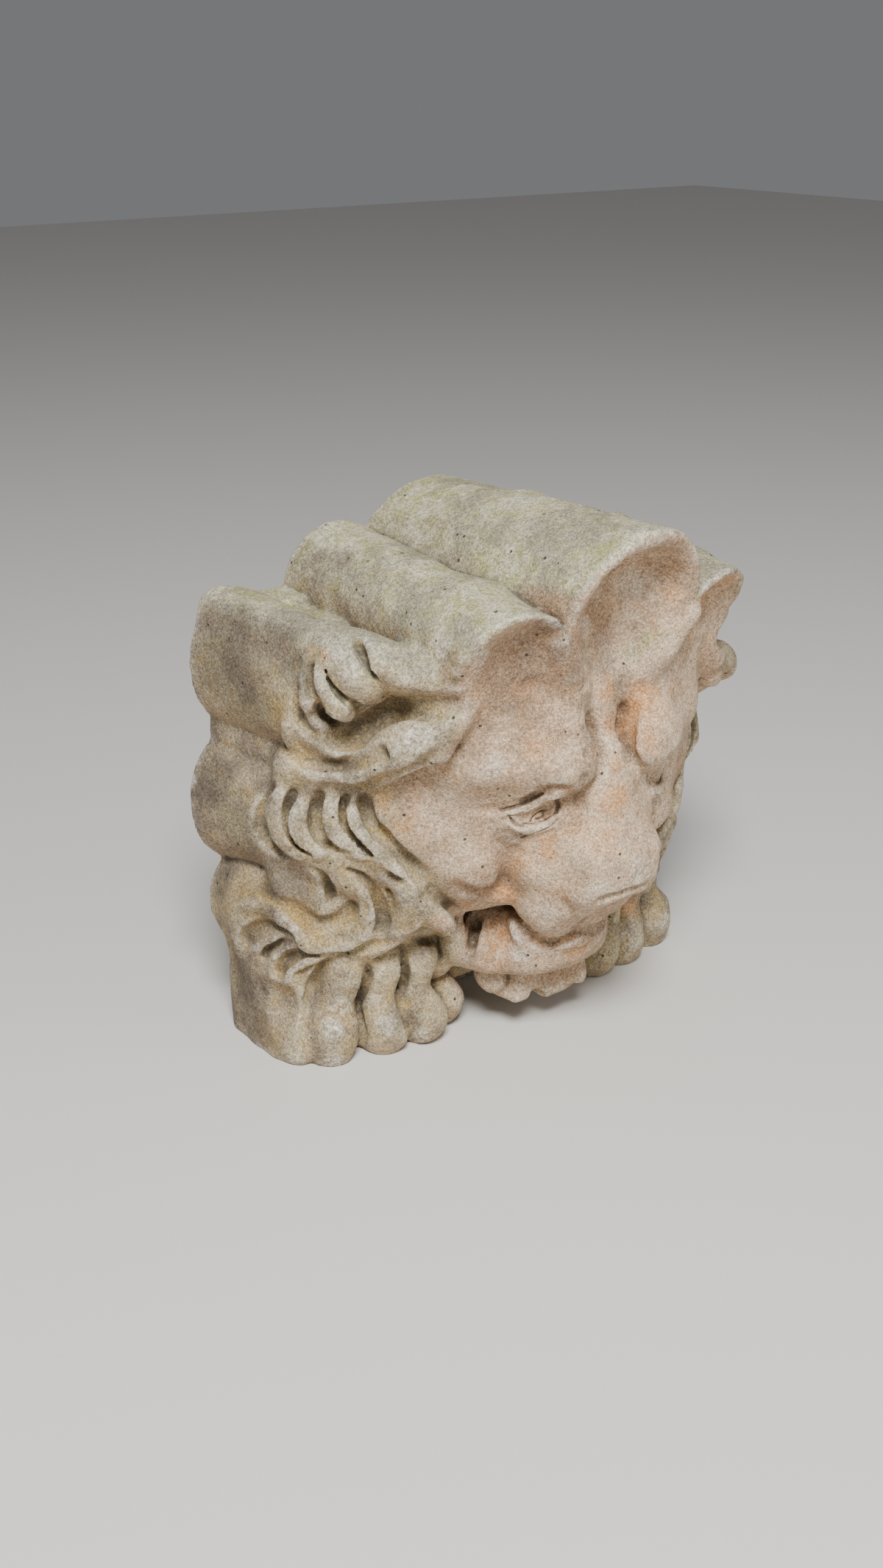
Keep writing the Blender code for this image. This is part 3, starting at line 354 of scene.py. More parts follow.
grooves = {
    "lock 1 groove": (1.5, [(-124.3, 8.4, 143.9, 2.5), (-122.1, 15.6, 135.9, 3), (-121.8, 18.6, 129.3, 3.5),
                            (-122.7, 20.1, 123.6, 4.1), (-122.7, 20.6, 118.2, 4.5),
                            (-121.6, 18.8, 113.9, 4.1), (-120.1, 15.3, 110.7, 3.5), (-120.4, 9.4, 109.2, 3),
                            (-120.5, 2.7, 108.5, 2.5)]),
    "lock 2 groove": (1.2, [(-118, -2.5, 145.2, 1.8), (-117.8, 1, 140.2, 2), (-118.2, 3.1, 135.3, 2.2),
                            (-118.7, 3.7, 130.5, 2.3), (-118.8, 3.3, 126, 2.4), (-118.2, 1.7, 121.7, 2.3),
                            (-117.4, -0.8, 118.2, 2.2), (-117.1, -4.6, 116.5, 2),
                            (-116.2, -8.6, 115, 1.8)]),
    "lock 2 groove, mouth": (1.2, [(-117.3, 1.7, 140.1, 1.9), (-118.6, 2.7, 135.4, 2.1),
                                   (-119.3, 3.2, 130.7, 2.2), (-119.4, 2.8, 126.1, 2.3),
                                   (-118.9, 1.3, 121.8, 2.2), (-117.8, -1.1, 118.3, 2.1),
                                   (-116.3, -4.1, 116.4, 1.9)]),
    "lock 3 groove": (1.2, [(-112.4, -13.4, 147, 2), (-111, -8.9, 140.8, 2.5), (-109.8, -5.9, 134.9, 3),
                            (-110.2, -6, 130.3, 3.5), (-110.3, -7, 126.2, 3.8), (-110, -9.1, 122.7, 3.5),
                            (-108.9, -11.7, 119.6, 3), (-107.5, -15.8, 117.6, 2.5),
                            (-104.8, -19.6, 115.6, 2)]),
    "lock 3 groove, mouth": (1.2, [(-110.5, -8.5, 140.9, 2.4), (-111, -6.9, 135.4, 2.8),
                                   (-111.9, -7.5, 131.1, 3.3), (-112.3, -8.9, 127.1, 3.6),
                                   (-111.6, -10.8, 123.2, 3.3), (-110, -13, 119.9, 2.8),
                                   (-107.1, -15.3, 117.5, 2.4)]),
    "lock 4 groove": (1.2, [(-104.4, -23, 146.5, 1.8), (-101.5, -16, 140.2, 2), (-101.8, -13.3, 135.3, 2.2),
                            (-102.8, -13.9, 131.7, 2.4), (-103, -15, 128.2, 2.5),
                            (-102.1, -16.6, 124.8, 2.5), (-100.1, -18.4, 121.2, 2.4),
                            (-97.2, -20.9, 117.8, 2.1), (-93.8, -23.1, 114.3, 1.8)]),
    "lock 4 groove, mouth": (1.2, [(-101.3, -15.6, 140.3, 1.9), (-102.2, -14.3, 135.7, 2.1),
                                   (-103.3, -14.9, 132.1, 2.3), (-103.5, -16, 128.6, 2.4),
                                   (-102.5, -17.4, 125, 2.4), (-100.2, -18.7, 121.3, 2.3),
                                   (-96.7, -19.9, 117.7, 2)]),
    "face edge": (2.5, [(-98, -26, 143.6, 2.5), (-95, -20.1, 139.1, 3.1), (-93.7, -19.5, 135.3, 3.5),
                        (-93.1, -20.4, 131.7, 3.6), (-91.9, -22, 128.1, 3.5), (-89.7, -24.8, 124.3, 3.5),
                        (-86.9, -27.5, 120.2, 3.5), (-83.3, -29.9, 115.4, 3.5), (-79, -31, 109.9, 3.5),
                        (-76.6, -33, 104.7, 3.5), (-74.6, -36.9, 100.6, 3.5)]),
    "comma": (1.2, [(-115.8, -4.5, 105, 1.8), (-113.4, -6.5, 105, 2.1), (-110.7, -7.5, 104, 2.4),
                    (-107.9, -7.2, 100.7, 2.8), (-104.5, -5, 96, 3), (-102.7, -3.7, 91.4, 2.9),
                    (-102.5, -4, 88.2, 2.6), (-103.6, -5.5, 86.4, 2.2), (-104.9, -6.4, 84.6, 1.8)]),
    "outer S groove": (1.2, [(-106, -16.3, 106.7, 1.8), (-101, -16.8, 104.9, 2), (-96.3, -17.2, 102.6, 2.2),
                             (-93.1, -18.6, 99.1, 2.4), (-90.7, -19.8, 95.1, 2.6),
                             (-88.7, -20.1, 90.2, 2.8), (-86.9, -19.5, 84.9, 3), (-85.6, -18.7, 80.1, 3.1),
                             (-84.6, -18.3, 75.5, 3), (-86.8, -19.8, 72.1, 2.5),
                             (-89.3, -20.2, 69.1, 1.8)]),
    "outer S groove, mouth": (1.2, [(-100.4, -15.8, 105, 1.9), (-96.3, -17.3, 102.6, 2.1),
                                    (-93.3, -19, 99.3, 2.3), (-91.1, -20.8, 95.5, 2.5),
                                    (-89.2, -21.9, 90.6, 2.7), (-87.6, -22.1, 85.2, 2.8),
                                    (-86.4, -21.5, 80.2, 2.9), (-85.9, -20.7, 75.7, 2.8),
                                    (-86.7, -19.6, 72.1, 2.4)]),
    "short groove": (1.5, [(-90.5, -27, 105.3, 2), (-88.1, -27.6, 103.6, 2.3), (-85.6, -28.1, 101.7, 2.5),
                           (-84.8, -31, 99.8, 2.3), (-83.7, -33.7, 97.6, 2)]),
    "second short groove": (1.5, [(-96.5, -21.2, 92.2, 2), (-95.4, -19.9, 88.2, 2), (-94.2, -18, 84.1, 2),
                                  (-95, -16, 79.6, 1.8), (-96.2, -13.5, 75.1, 1.5)]),
    "crescent": (2.5, [(-117.2, 8.6, 82, 3), (-114.4, 7.3, 79.6, 3.6), (-111.7, 5.5, 76.9, 4),
                       (-109.3, 3, 75.2, 4.1), (-106.4, 0.6, 74.3, 4), (-103.1, -2.7, 74.8, 4),
                       (-100.1, -6.1, 76.4, 4), (-97.4, -8.1, 79, 3.8), (-95.8, -9.8, 82.5, 3.5),
                       (-98.5, -14.7, 87.9, 3), (-99.7, -18.2, 92.9, 2.5)]),
    "curl hollow": (1.8, [(-129.3, 30.7, 48.9, 3.5), (-128.5, 31.2, 53.7, 4.1), (-127.1, 31.4, 58, 4.5),
                          (-126.5, 27.9, 62.9, 4.6), (-125.3, 23.4, 67, 4.5), (-122.8, 19.7, 69.1, 4.1),
                          (-120.2, 16, 69.9, 3.5), (-119.3, 11.6, 69, 3), (-118.6, 7.3, 67.4, 2.5)]),
    "curl b groove": (1.5, [(-125.6, 21.1, 50.6, 2.5), (-123.5, 21.5, 53.5, 2.5), (-121.5, 21.6, 56.4, 2.5),
                            (-120.3, 19.2, 59.1, 2.5), (-119.1, 15.7, 61.4, 2.5), (-118.6, 11.1, 63.2, 2.3),
                            (-117.5, 6.5, 64.5, 2)]),
    "curl b groove, mouth": (1.5, [(-122.8, 22, 53.4, 2.4), (-122.4, 20.8, 56.6, 2.4),
                                   (-121.1, 18.5, 59.2, 2.4), (-119.3, 15.6, 61.5, 2.4),
                                   (-117.6, 11.9, 63, 2.2)]),
    "curl c groove": (1.5, [(-122.8, 12.8, 42.9, 2.5), (-120.8, 14, 45.9, 3.1), (-118.3, 15.3, 48.2, 3.5),
                            (-116.6, 14.2, 51.6, 3.6), (-114.9, 11.6, 55, 3.5), (-113, 7.7, 57.9, 3),
                            (-110.9, 3.8, 59.6, 2.5), (-109.2, 0.5, 59.5, 2.1), (-106.8, -1.9, 58.6, 1.8)]),
    "curl c groove, mouth": (1.5, [(-120.1, 14.7, 45.6, 2.9), (-119, 14.5, 48.6, 3.3),
                                   (-117.4, 13.3, 51.9, 3.4), (-115.7, 10.8, 55.1, 3.3),
                                   (-113.5, 7.2, 57.9, 2.9), (-111.1, 3.6, 59.6, 2.4),
                                   (-108.5, 1.5, 59.6, 2)]),
    "curl e groove": (1.5, [(-114.9, 7.7, 46.4, 2), (-113.2, 7.4, 48.5, 2.3), (-111.3, 6.2, 50.9, 2.5),
                            (-109.1, 2.9, 52.4, 2.3), (-106.2, -0.5, 53.5, 2)]),
    "paw groove": (1.8, [(-100, -5.1, 56, 2.2), (-102, -1.3, 53.9, 2.6), (-103.8, 2.2, 50.9, 3),
                         (-105, 4.8, 46, 3.3), (-105.8, 7.4, 39.9, 3.5), (-107.6, 7.4, 35, 3.6),
                         (-109.4, 6.5, 30.5, 3.5), (-111.7, 5, 26.1, 3.4), (-113.8, 3.9, 21.3, 3.2),
                         (-116.1, 2.3, 16.3, 3.2), (-118.4, 0.4, 11.1, 3.2)]),
    "leg hollow": (4, [(-131.8, 21.5, 35.8, 9), (-128.7, 14.7, 34.2, 10.8), (-124.8, 11.9, 30.5, 12),
                       (-127.4, 11, 26.1, 11.3), (-130.9, 12.4, 21.1, 10)]),
    "leg crease": (2.5, [(-127.3, 29.3, 39.9, 3), (-125.9, 28, 36.7, 3.6), (-124.4, 26.9, 33.3, 4),
                         (-125.1, 25.7, 30.1, 3.6), (-126.2, 24.6, 26.8, 3)]),
    "over toes": (2, [(-104.8, -3.5, 56.7, 3), (-99.6, -4.6, 57, 3), (-95.1, -7.2, 58.3, 3),
                      (-92.6, -12.7, 61.3, 3), (-89.1, -16.7, 63.4, 3), (-86.2, -21.5, 65.1, 2.8),
                      (-82.9, -26.3, 66.1, 2.6)]),
    "under spike": (1.2, [(-67.4, -13.8, 57.7, 2), (-60.6, -13.3, 56.6, 2.3), (-53.4, -11.8, 53.4, 2.4),
                          (-49.3, -15.3, 54.3, 2.2), (-47.5, -22.3, 56.9, 2)]),
    "beside spike": (1.5, [(-70.5, -36.1, 93.8, 2.5), (-65.7, -35.9, 89.5, 2.7), (-60.5, -35, 84.4, 2.8),
                           (-51.6, -28.5, 74.9, 2.9), (-43.4, -21.2, 64.4, 2.8), (-42.2, -22.4, 59.9, 2.5),
                           (-41.7, -23.8, 55.9, 2.2)]),
    "toe 1-2": (1.2, [(-92.6, -15.4, 58.8, 2.2), (-86.6, -8.5, 49.5, 2.4), (-85.3, -6.2, 43.1, 2.6),
                      (-85.9, -3.1, 35.1, 2.6), (-85.4, 1.9, 25.8, 2.6), (-86.4, 0.6, 21.3, 2.7),
                      (-87.6, -1.9, 17.6, 2.8), (-87.6, -3.7, 12, 2.7), (-88.3, -2.7, 4.2, 2.6)]),
    "toe 2-3": (1.2, [(-68.8, -11.4, 52.9, 2.2), (-68.6, -12.2, 47.4, 2.4), (-67.5, -11.5, 41.1, 2.6),
                      (-67.5, -8.4, 32.9, 2.6), (-70.1, -9.8, 27.5, 2.6), (-70, -13.4, 22, 2.7),
                      (-67.6, -14.5, 15.1, 2.8), (-65.9, -14.7, 9, 2.7), (-64.3, -10.7, 0.2, 2.6)]),
    "tuft crack": (1.2, [(-101.5, -25.1, 215.9, 2), (-101.3, -27.3, 212.5, 2.3),
                         (-100.5, -28.9, 209.3, 2.6), (-100.1, -31, 206.6, 2.7), (-99.5, -33, 203.9, 2.6),
                         (-99.8, -35.7, 201.2, 2.3), (-99.7, -37.6, 197.7, 2)]),
    "tuft crack, mouth": (1.2, [(-101, -26.9, 212.1, 2.2), (-101.2, -29.6, 209.8, 2.5),
                                (-101, -31.9, 207, 2.5), (-100.3, -33.8, 204.1, 2.5),
                                (-99.3, -35.3, 201.2, 2.2)]),
    "tuft a groove": (1, [(-111.8, -20.1, 207.4, 1.8), (-111.1, -19.4, 202.1, 1.9),
                          (-110.4, -19.7, 197.3, 2), (-109.9, -22.6, 193.4, 2.1),
                          (-108.3, -25.8, 190.2, 2.2), (-105.4, -28.6, 188, 2.2),
                          (-97.4, -25.8, 184.6, 2.2), (-93.4, -30.6, 186, 1.9),
                          (-89.3, -33.3, 187.9, 1.6)]),
    "tuft a groove, mouth": (1, [(-110.6, -18.9, 202, 1.8), (-110.9, -20.2, 197.5, 1.9),
                                 (-110.4, -23.1, 193.6, 2), (-108.7, -26.2, 190.3, 2.1),
                                 (-105.6, -28.9, 188.1, 2.1), (-97.5, -25.8, 184.6, 2.1),
                                 (-93.2, -29.6, 186.1, 1.8)]),
    "tuft b groove": (1.2, [(-116.2, -14, 206.5, 2), (-115.1, -12.1, 200.3, 2.3), (-114.3, -12, 194.7, 2.6),
                            (-114.6, -14.2, 189.9, 2.7), (-114, -16.7, 185.7, 2.8),
                            (-105.6, -8.5, 177.3, 2.8), (-102.8, -12.1, 175.2, 2.8),
                            (-100, -17.8, 175.7, 2.6), (-97.6, -24.4, 177.2, 2.4)]),
    "tuft b groove, mouth": (1.2, [(-114.4, -11.7, 200.2, 2.2), (-115.2, -12.5, 195, 2.5),
                                   (-115.7, -14.9, 190.2, 2.6), (-115.2, -17.5, 185.9, 2.7),
                                   (-106.4, -9.5, 177.7, 2.7), (-103.3, -12.8, 175.5, 2.7),
                                   (-99.3, -17.1, 175.4, 2.5)]),
    "tuft c groove": (1.2, [(-119.9, -5.9, 191.5, 2), (-119.2, -5.7, 185.4, 2.4),
                            (-117.1, -4.2, 179.5, 2.8), (-116.4, -5.4, 175.1, 2.8), (-115.6, -8, 172, 2.8),
                            (-115.6, -12.7, 170.1, 3.1), (-116, -18.7, 168.2, 3.5)]),
    "tuft c groove, mouth": (1.2, [(-118.2, -5.2, 185.2, 2.3), (-117.9, -4.8, 179.5, 2.7),
                                   (-117.3, -5.9, 175.2, 2.7), (-116.4, -8.4, 172, 2.7),
                                   (-114.9, -12.3, 170.1, 3)]),
    "concha": (3, [(-120.2, -11.6, 168.1, 5), (-116.5, -16.3, 169.5, 5.5), (-111.7, -18.8, 170.2, 6),
                   (-106.2, -18.9, 169.3, 6.3), (-100.4, -19.5, 169.7, 6.5), (-96.3, -21.3, 171.6, 6.3),
                   (-93, -24.2, 174.6, 6), (-90.2, -27.2, 178.5, 5.5), (-85.6, -30.3, 181.5, 5),
                   (-86.5, -39, 185.5, 4.5), (-86.3, -47.1, 188.3, 4)]),
    "behind bulge": (2, [(-104.2, -29, 170.4, 4), (-100.4, -25.4, 172, 4.6), (-96.5, -24.1, 172.8, 5),
                         (-93.9, -25.9, 175.7, 4.6), (-90.9, -28.6, 178, 4), (-87, -31.5, 179.2, 3.5),
                         (-85.8, -39.3, 181.5, 3), (-83.7, -46.1, 182.7, 2.5), (-81.8, -53.1, 184.2, 2)]),
    "inner rim line": (2.5, [(-116.9, -1.7, 158.5, 3), (-113, -7, 157.2, 3), (-108.6, -13, 156.6, 3),
                             (-105.4, -17.9, 156.9, 3), (-103.4, -24.4, 159, 3), (-102.4, -33.6, 163.6, 3),
                             (-100.3, -41.8, 168.5, 3)]),
    "under rim": (3, [(-111.8, -16.5, 144.8, 4), (-106, -19.3, 144.4, 4.6), (-100.4, -22.4, 145.3, 5),
                      (-97.2, -28.7, 148.2, 4.6), (-94.8, -35.8, 152.2, 4), (-92.1, -42.9, 156.5, 4),
                      (-89.5, -49.5, 161.2, 4), (-87.6, -55.3, 166.1, 3.6), (-85.1, -59.8, 170.6, 3)]),
    "brow shadow": (1.5, [(-63.3, -51.8, 134.7, 2.5), (-58.1, -52.9, 134.6, 2.5),
                          (-53.5, -54.5, 134.9, 2.5), (-49.6, -57.4, 135.5, 2.6),
                          (-45.7, -60.5, 136.4, 2.8), (-42, -63.2, 138.2, 2.9), (-39, -66.3, 140.5, 3),
                          (-38.3, -71.8, 144.3, 3), (-36.9, -75.9, 147.2, 3), (-34.6, -77.9, 148, 2.9),
                          (-31.9, -79, 147.5, 2.8), (-28.4, -79.6, 144.8, 2.6), (-20.8, -75, 139.3, 2.4)]),
    "eye socket": (1.5, [(-47.7, -63, 130.3, 3.5), (-44.1, -64.5, 130.2, 4.1), (-40.4, -65.6, 130.1, 4.5),
                         (-36.9, -67.1, 130.9, 4.6), (-33.5, -68.2, 131.9, 4.5), (-31, -69.9, 133.1, 4.1),
                         (-29, -71.9, 134.6, 3.5)]),
    "under eye": (2, [(-50.1, -59.2, 125.8, 3), (-47.3, -59.9, 123.5, 3.3), (-44.2, -60.6, 121.4, 3.5),
                      (-41, -62.1, 119.4, 3.6), (-37.9, -64.1, 118.6, 3.5), (-35.3, -67.2, 120.3, 3.1),
                      (-32.3, -70, 122.6, 2.5)]),
    "cheek line": (3, [(-67.6, -45.8, 97.6, 4), (-61.6, -46.4, 95.4, 4), (-55.5, -46.1, 93.2, 4),
                       (-49.6, -46.3, 91.3, 4.2), (-43.4, -45.9, 90.4, 4.5), (-41.5, -49.6, 94.1, 4.8),
                       (-42, -54.6, 100.2, 5), (-42.9, -57.6, 106, 5), (-43.6, -59.7, 111.2, 5)]),
    "slot": (1.5, [(-29.3, -17, 65.3, 2.2), (-29.6, -16.8, 61.3, 2.4), (-29.6, -16.5, 56.8, 2.6),
                   (-31.8, -17.7, 54.1, 2.7), (-34.4, -19.9, 51.5, 2.6), (-38.1, -23.5, 50.4, 2.4),
                   (-42.5, -26.2, 47.7, 2.2)]),
    "slot, mouth": (1.5, [(-29.9, -17, 61.6, 2.3), (-32.1, -18.2, 59.6, 2.5), (-34.2, -20, 57, 2.5),
                          (-36.6, -22.2, 54.2, 2.5), (-38.8, -24, 51, 2.3)]),
    "recess": (3, [(-29.5, -23.6, 66.7, 5), (-30.8, -26.8, 63.7, 5.6), (-32, -29.1, 60.4, 6),
                   (-35.5, -31.7, 57.9, 5.6), (-39.8, -34.1, 53.7, 5)]),
    "jowl edge": (1.5, [(-26.5, -43.2, 67.3, 2), (-25.4, -46.3, 64.8, 2.2), (-23.5, -48.3, 62.2, 2.4),
                        (-21.3, -50.7, 60.2, 2.6), (-18.4, -52.7, 58.6, 2.8), (-15, -54.7, 58.2, 2.6),
                        (-11.3, -56.2, 58.7, 2.4), (-7.2, -57.2, 59.8, 2.2), (-3, -57.7, 61.3, 2),
                        (0.7, -59, 63.5, 2), (4.4, -60, 65.5, 2)]),
    "jowl edge, mouth": (1.5, [(-24.5, -45.8, 64.4, 2.1), (-23.7, -48.5, 62.3, 2.3),
                               (-21.8, -51.2, 60.3, 2.5), (-18.9, -53.5, 58.7, 2.7),
                               (-15.5, -55.5, 58.4, 2.5), (-11.6, -57, 58.8, 2.3), (-7.5, -58, 60, 2.1),
                               (-3.2, -58.4, 61.5, 1.9), (0.8, -58.3, 63.2, 1.9)]),
    "nostril": (1.2, [(-16.1, -83.3, 86.3, 1.8), (-16.5, -86, 90.6, 2), (-14.3, -86.3, 92.7, 2.2),
                      (-9.4, -86.4, 92.9, 2.2), (-3.7, -86.4, 92.8, 2.2), (1, -86.7, 93.3, 2.1),
                      (4.9, -87.1, 94, 2), (6.8, -88.3, 95.1, 1.8), (8.1, -89.5, 96.5, 1.6)]),
    "lip dimple": (1.5, [(-18.8, -58.3, 58.6, 3.5), (-16.8, -56.4, 57.7, 3.2), (-17.2, -58.4, 57.2, 3)]),
    "lower lip groove": (2, [(-13.5, -59.1, 53.7, 3), (-9, -58.4, 51.7, 3), (-4.4, -57.8, 50.2, 3),
                             (-0.1, -59.1, 50.5, 2.8), (5.6, -59.4, 50.4, 2.5)]),
}


# Eased step: with t the share of the way from low to high, t * t * (3 - 2 * t).
def easedStep(low, high, values):
    t = np.clip((values - low) / (high - low), 0, 1)
    return t * t * (3 - 2 * t)


# Noise: random numbers on a coarse lattice, read between its points by an eased share on each axis.
def latticeNoise(axes, spacing, seed):
    counts = [int((axis[-1] - axis[0]) / spacing) + 3 for axis in axes]
    values = np.random.default_rng(seed).uniform(-1, 1, counts).astype(np.float32)
    for k, axis in enumerate(axes):
        place = (axis - axis[0]) / spacing
        first = place.astype(int)
        t = place - first
        share = (t * t * (3 - 2 * t)).astype(np.float32)
        moved = np.moveaxis(values, k, -1)
        values = np.moveaxis(moved[..., first] * (1 - share) + moved[..., first + 1] * share, -1, k)
    return values


# Moving average over a cube, taken twice on each axis, so that it falls off smoothly.
def averaged(values, reach):
    width = 2 * reach + 1
    for k in range(3):
        for _ in range(2):
            pad = [(0, 0)] * 3
            pad[k] = (reach + 1, reach)
            total = np.cumsum(np.pad(values, pad, mode="edge"), axis=k, dtype=np.float64)
            upper = np.take(total, np.arange(width, total.shape[k]), axis=k)
            lower = np.take(total, np.arange(0, total.shape[k] - width), axis=k)
            values = ((upper - lower) / width).astype(np.float32)
    return values


# Share of stone around each grid point: a half on a flat face, less on an edge, more in a crease.
def stoneShare(samples, step, reach):
    inside = np.clip(0.5 - samples / step, 0, 1).astype(np.float32)
    return averaged(inside, max(1, int(round(reach / step))))


# Value of a grid at any points, read along straight lines between the eight grid points around each.
def readGrid(values, field, points):
    place = (points - field["low"]) / field["step"]
    place = np.clip(place, 0, np.array(values.shape) - 1.001)
    first = place.astype(int)
    x, y, z = (place - first).T
    i, j, k = first.T
    total = 0
    for a, shareX in ((0, 1 - x), (1, x)):
        for b, shareY in ((0, 1 - y), (1, y)):
            for c, shareZ in ((0, 1 - z), (1, z)):
                total = total + values[i + a, j + b, k + c] * shareX * shareY * shareZ
    return total


# Outward direction: how the distance changes from one step before a point to one past it, made one long.
def surfaceSlope(field, points):
    reach = field["step"]
    slope = np.stack([readGrid(field["samples"], field, points + offset)
                      - readGrid(field["samples"], field, points - offset)
                      for offset in np.eye(3) * reach], axis=1)
    return slope / (np.linalg.norm(slope, axis=1, keepdims=True) + 1e-9)


# The carved half and its mirror image, joined at the middle plane.
def mirrored(field):
    middle = int(round(-field["low"][0] / field["step"]))
    half = field["samples"][:middle + 1]
    samples = np.concatenate([half, half[:-1][::-1]], axis=0)
    across = field["low"][0] + field["step"] * np.arange(samples.shape[0])
    return {"step": field["step"], "low": field["low"], "samples": samples,
            "axes": [across, field["axes"][1], field["axes"][2]]}


# Where the casting is broken: the ragged lumps under the jaw, with the notch between them.
brokenJaw = {
    "left lump": (block, (-13, -22, 28), (9, 13, 11), 4, 2, (6, 10, 12)),
    "right lump": (block, (9, -24, 28), (14, 14, 12), 5, 2, (-5, -8, -8)),
    "small lump": (ball, (-24, -20, 30), (7, 10, 9), 2),
}
brokenJawCuts = {
    "notch": (block, (-7, -38, 15), (3.5, 12, 6), 2, 1, (0, 20, 0)),
    "bite": (block, (16, -42, 14), (9, 8, 5), 2, 1, (15, 12, 20)),
}

# Unevenness of the casting: lattice spacing and height in millimetres, with a seed for each layer.
unevenness = [(26, 0.7, 3), (11, 0.45, 5), (5, 0.28, 7)]

# Worn edges: how deep they are chipped, the size of the chips, how little stone an edge has around it
# where they begin, how soon they are at their deepest, and how much of the edge they take.
chips = {"depth": 2.2, "spacing": 6.0, "edge": 0.43, "steepness": 7, "spread": 2.2, "bare": 0.5, "seed": 11}

# How far around a point its share of stone is counted, in millimetres
shareReach = {"fine": 2.5, "broad": 7.5}


# The whole stone: masses and strokes of one half, its mirror image, the broken jaw, the unevenness and the
# chips. Chip depth = depth * sharpness of the edge * (spread * noise - bare).
def carveStone(step):
    field = carveMasses(step)
    for blend, rows in ridges.values():
        band(field, rows, blend, pieces=2)
    for blend, rows in grooves.values():
        band(field, rows, blend, cut=True, pieces=2)
    field = mirrored(field)
    shapeAll(field, brokenJaw)
    shapeAll(field, brokenJawCuts, cut=True)
    print("strokes cut")
    for spacing, height, seed in unevenness:
        field["samples"] += height * latticeNoise(field["axes"], spacing, seed)
    share = stoneShare(field["samples"], step, shareReach["fine"])
    patchy = latticeNoise(field["axes"], chips["spacing"], chips["seed"])
    sharp = np.clip((chips["edge"] - share) * chips["steepness"], 0, 1)
    field["samples"] += chips["depth"] * sharp * np.clip(patchy * chips["spread"] - chips["bare"], 0, 1)
    # the flat back and the flat foot
    y, z = field["axes"][1][None, :, None], field["axes"][2][None, None, :]
    field["samples"] = np.maximum(field["samples"], np.maximum(y - backPlane, -z)).astype(np.float32)
    return field


# Skin of the field: one point in each grid cell that the surface crosses, at the mean of the places where
# the cell's edges cross it, and one four-sided face around each grid line that crosses it.
def skinOf(field):
    samples = field["samples"]
    inside = samples < 0
    cells = tuple(n - 1 for n in samples.shape)
    total = np.zeros(cells + (3,), np.float32)
    count = np.zeros(cells, np.float32)
    ends = (slice(0, -1), slice(1, None))
    for axis in range(3):
        others = [k for k in range(3) if k != axis]
        for a in (0, 1):
            for b in (0, 1):
                near, far = [None] * 3, [None] * 3
                near[axis], far[axis] = ends
                near[others[0]] = far[others[0]] = ends[a]
                near[others[1]] = far[others[1]] = ends[b]
                one, two = samples[tuple(near)], samples[tuple(far)]
                crossed = inside[tuple(near)] != inside[tuple(far)]
                t = np.where(crossed, one / np.where(crossed, one - two, 1), 0)
                total[..., axis] += t
                total[..., others[0]] += a * crossed
                total[..., others[1]] += b * crossed
                count += crossed
    used = count > 0
    index = np.full(cells, -1, np.int64)
    index[used] = np.arange(used.sum())
    corners = np.argwhere(used) + total[used] / count[used][:, None]
    points = corners * field["step"] + field["low"]
    faces = []
    for axis in range(3):
        others = [k for k in range(3) if k != axis]
        near, far = [slice(1, -1)] * 3, [slice(1, -1)] * 3
        near[axis], far[axis] = ends
        one, two = inside[tuple(near)], inside[tuple(far)]
        around = []
        for a, b in ((0, 0), (1, 0), (1, 1), (0, 1)):
            pick = [None] * 3
            pick[axis] = slice(None)
            pick[others[0]] = slice(a, cells[others[0]] - 1 + a)
            pick[others[1]] = slice(b, cells[others[1]] - 1 + b)
            around.append(index[tuple(pick)])
        ring = np.stack(around, axis=-1)
        outward = axis != 1
        for leaving, flip in ((one & ~two, not outward), (~one & two, outward)):
            found = ring[leaving]
            faces.append(found[:, ::-1] if flip else found)
    return points, np.concatenate(faces)


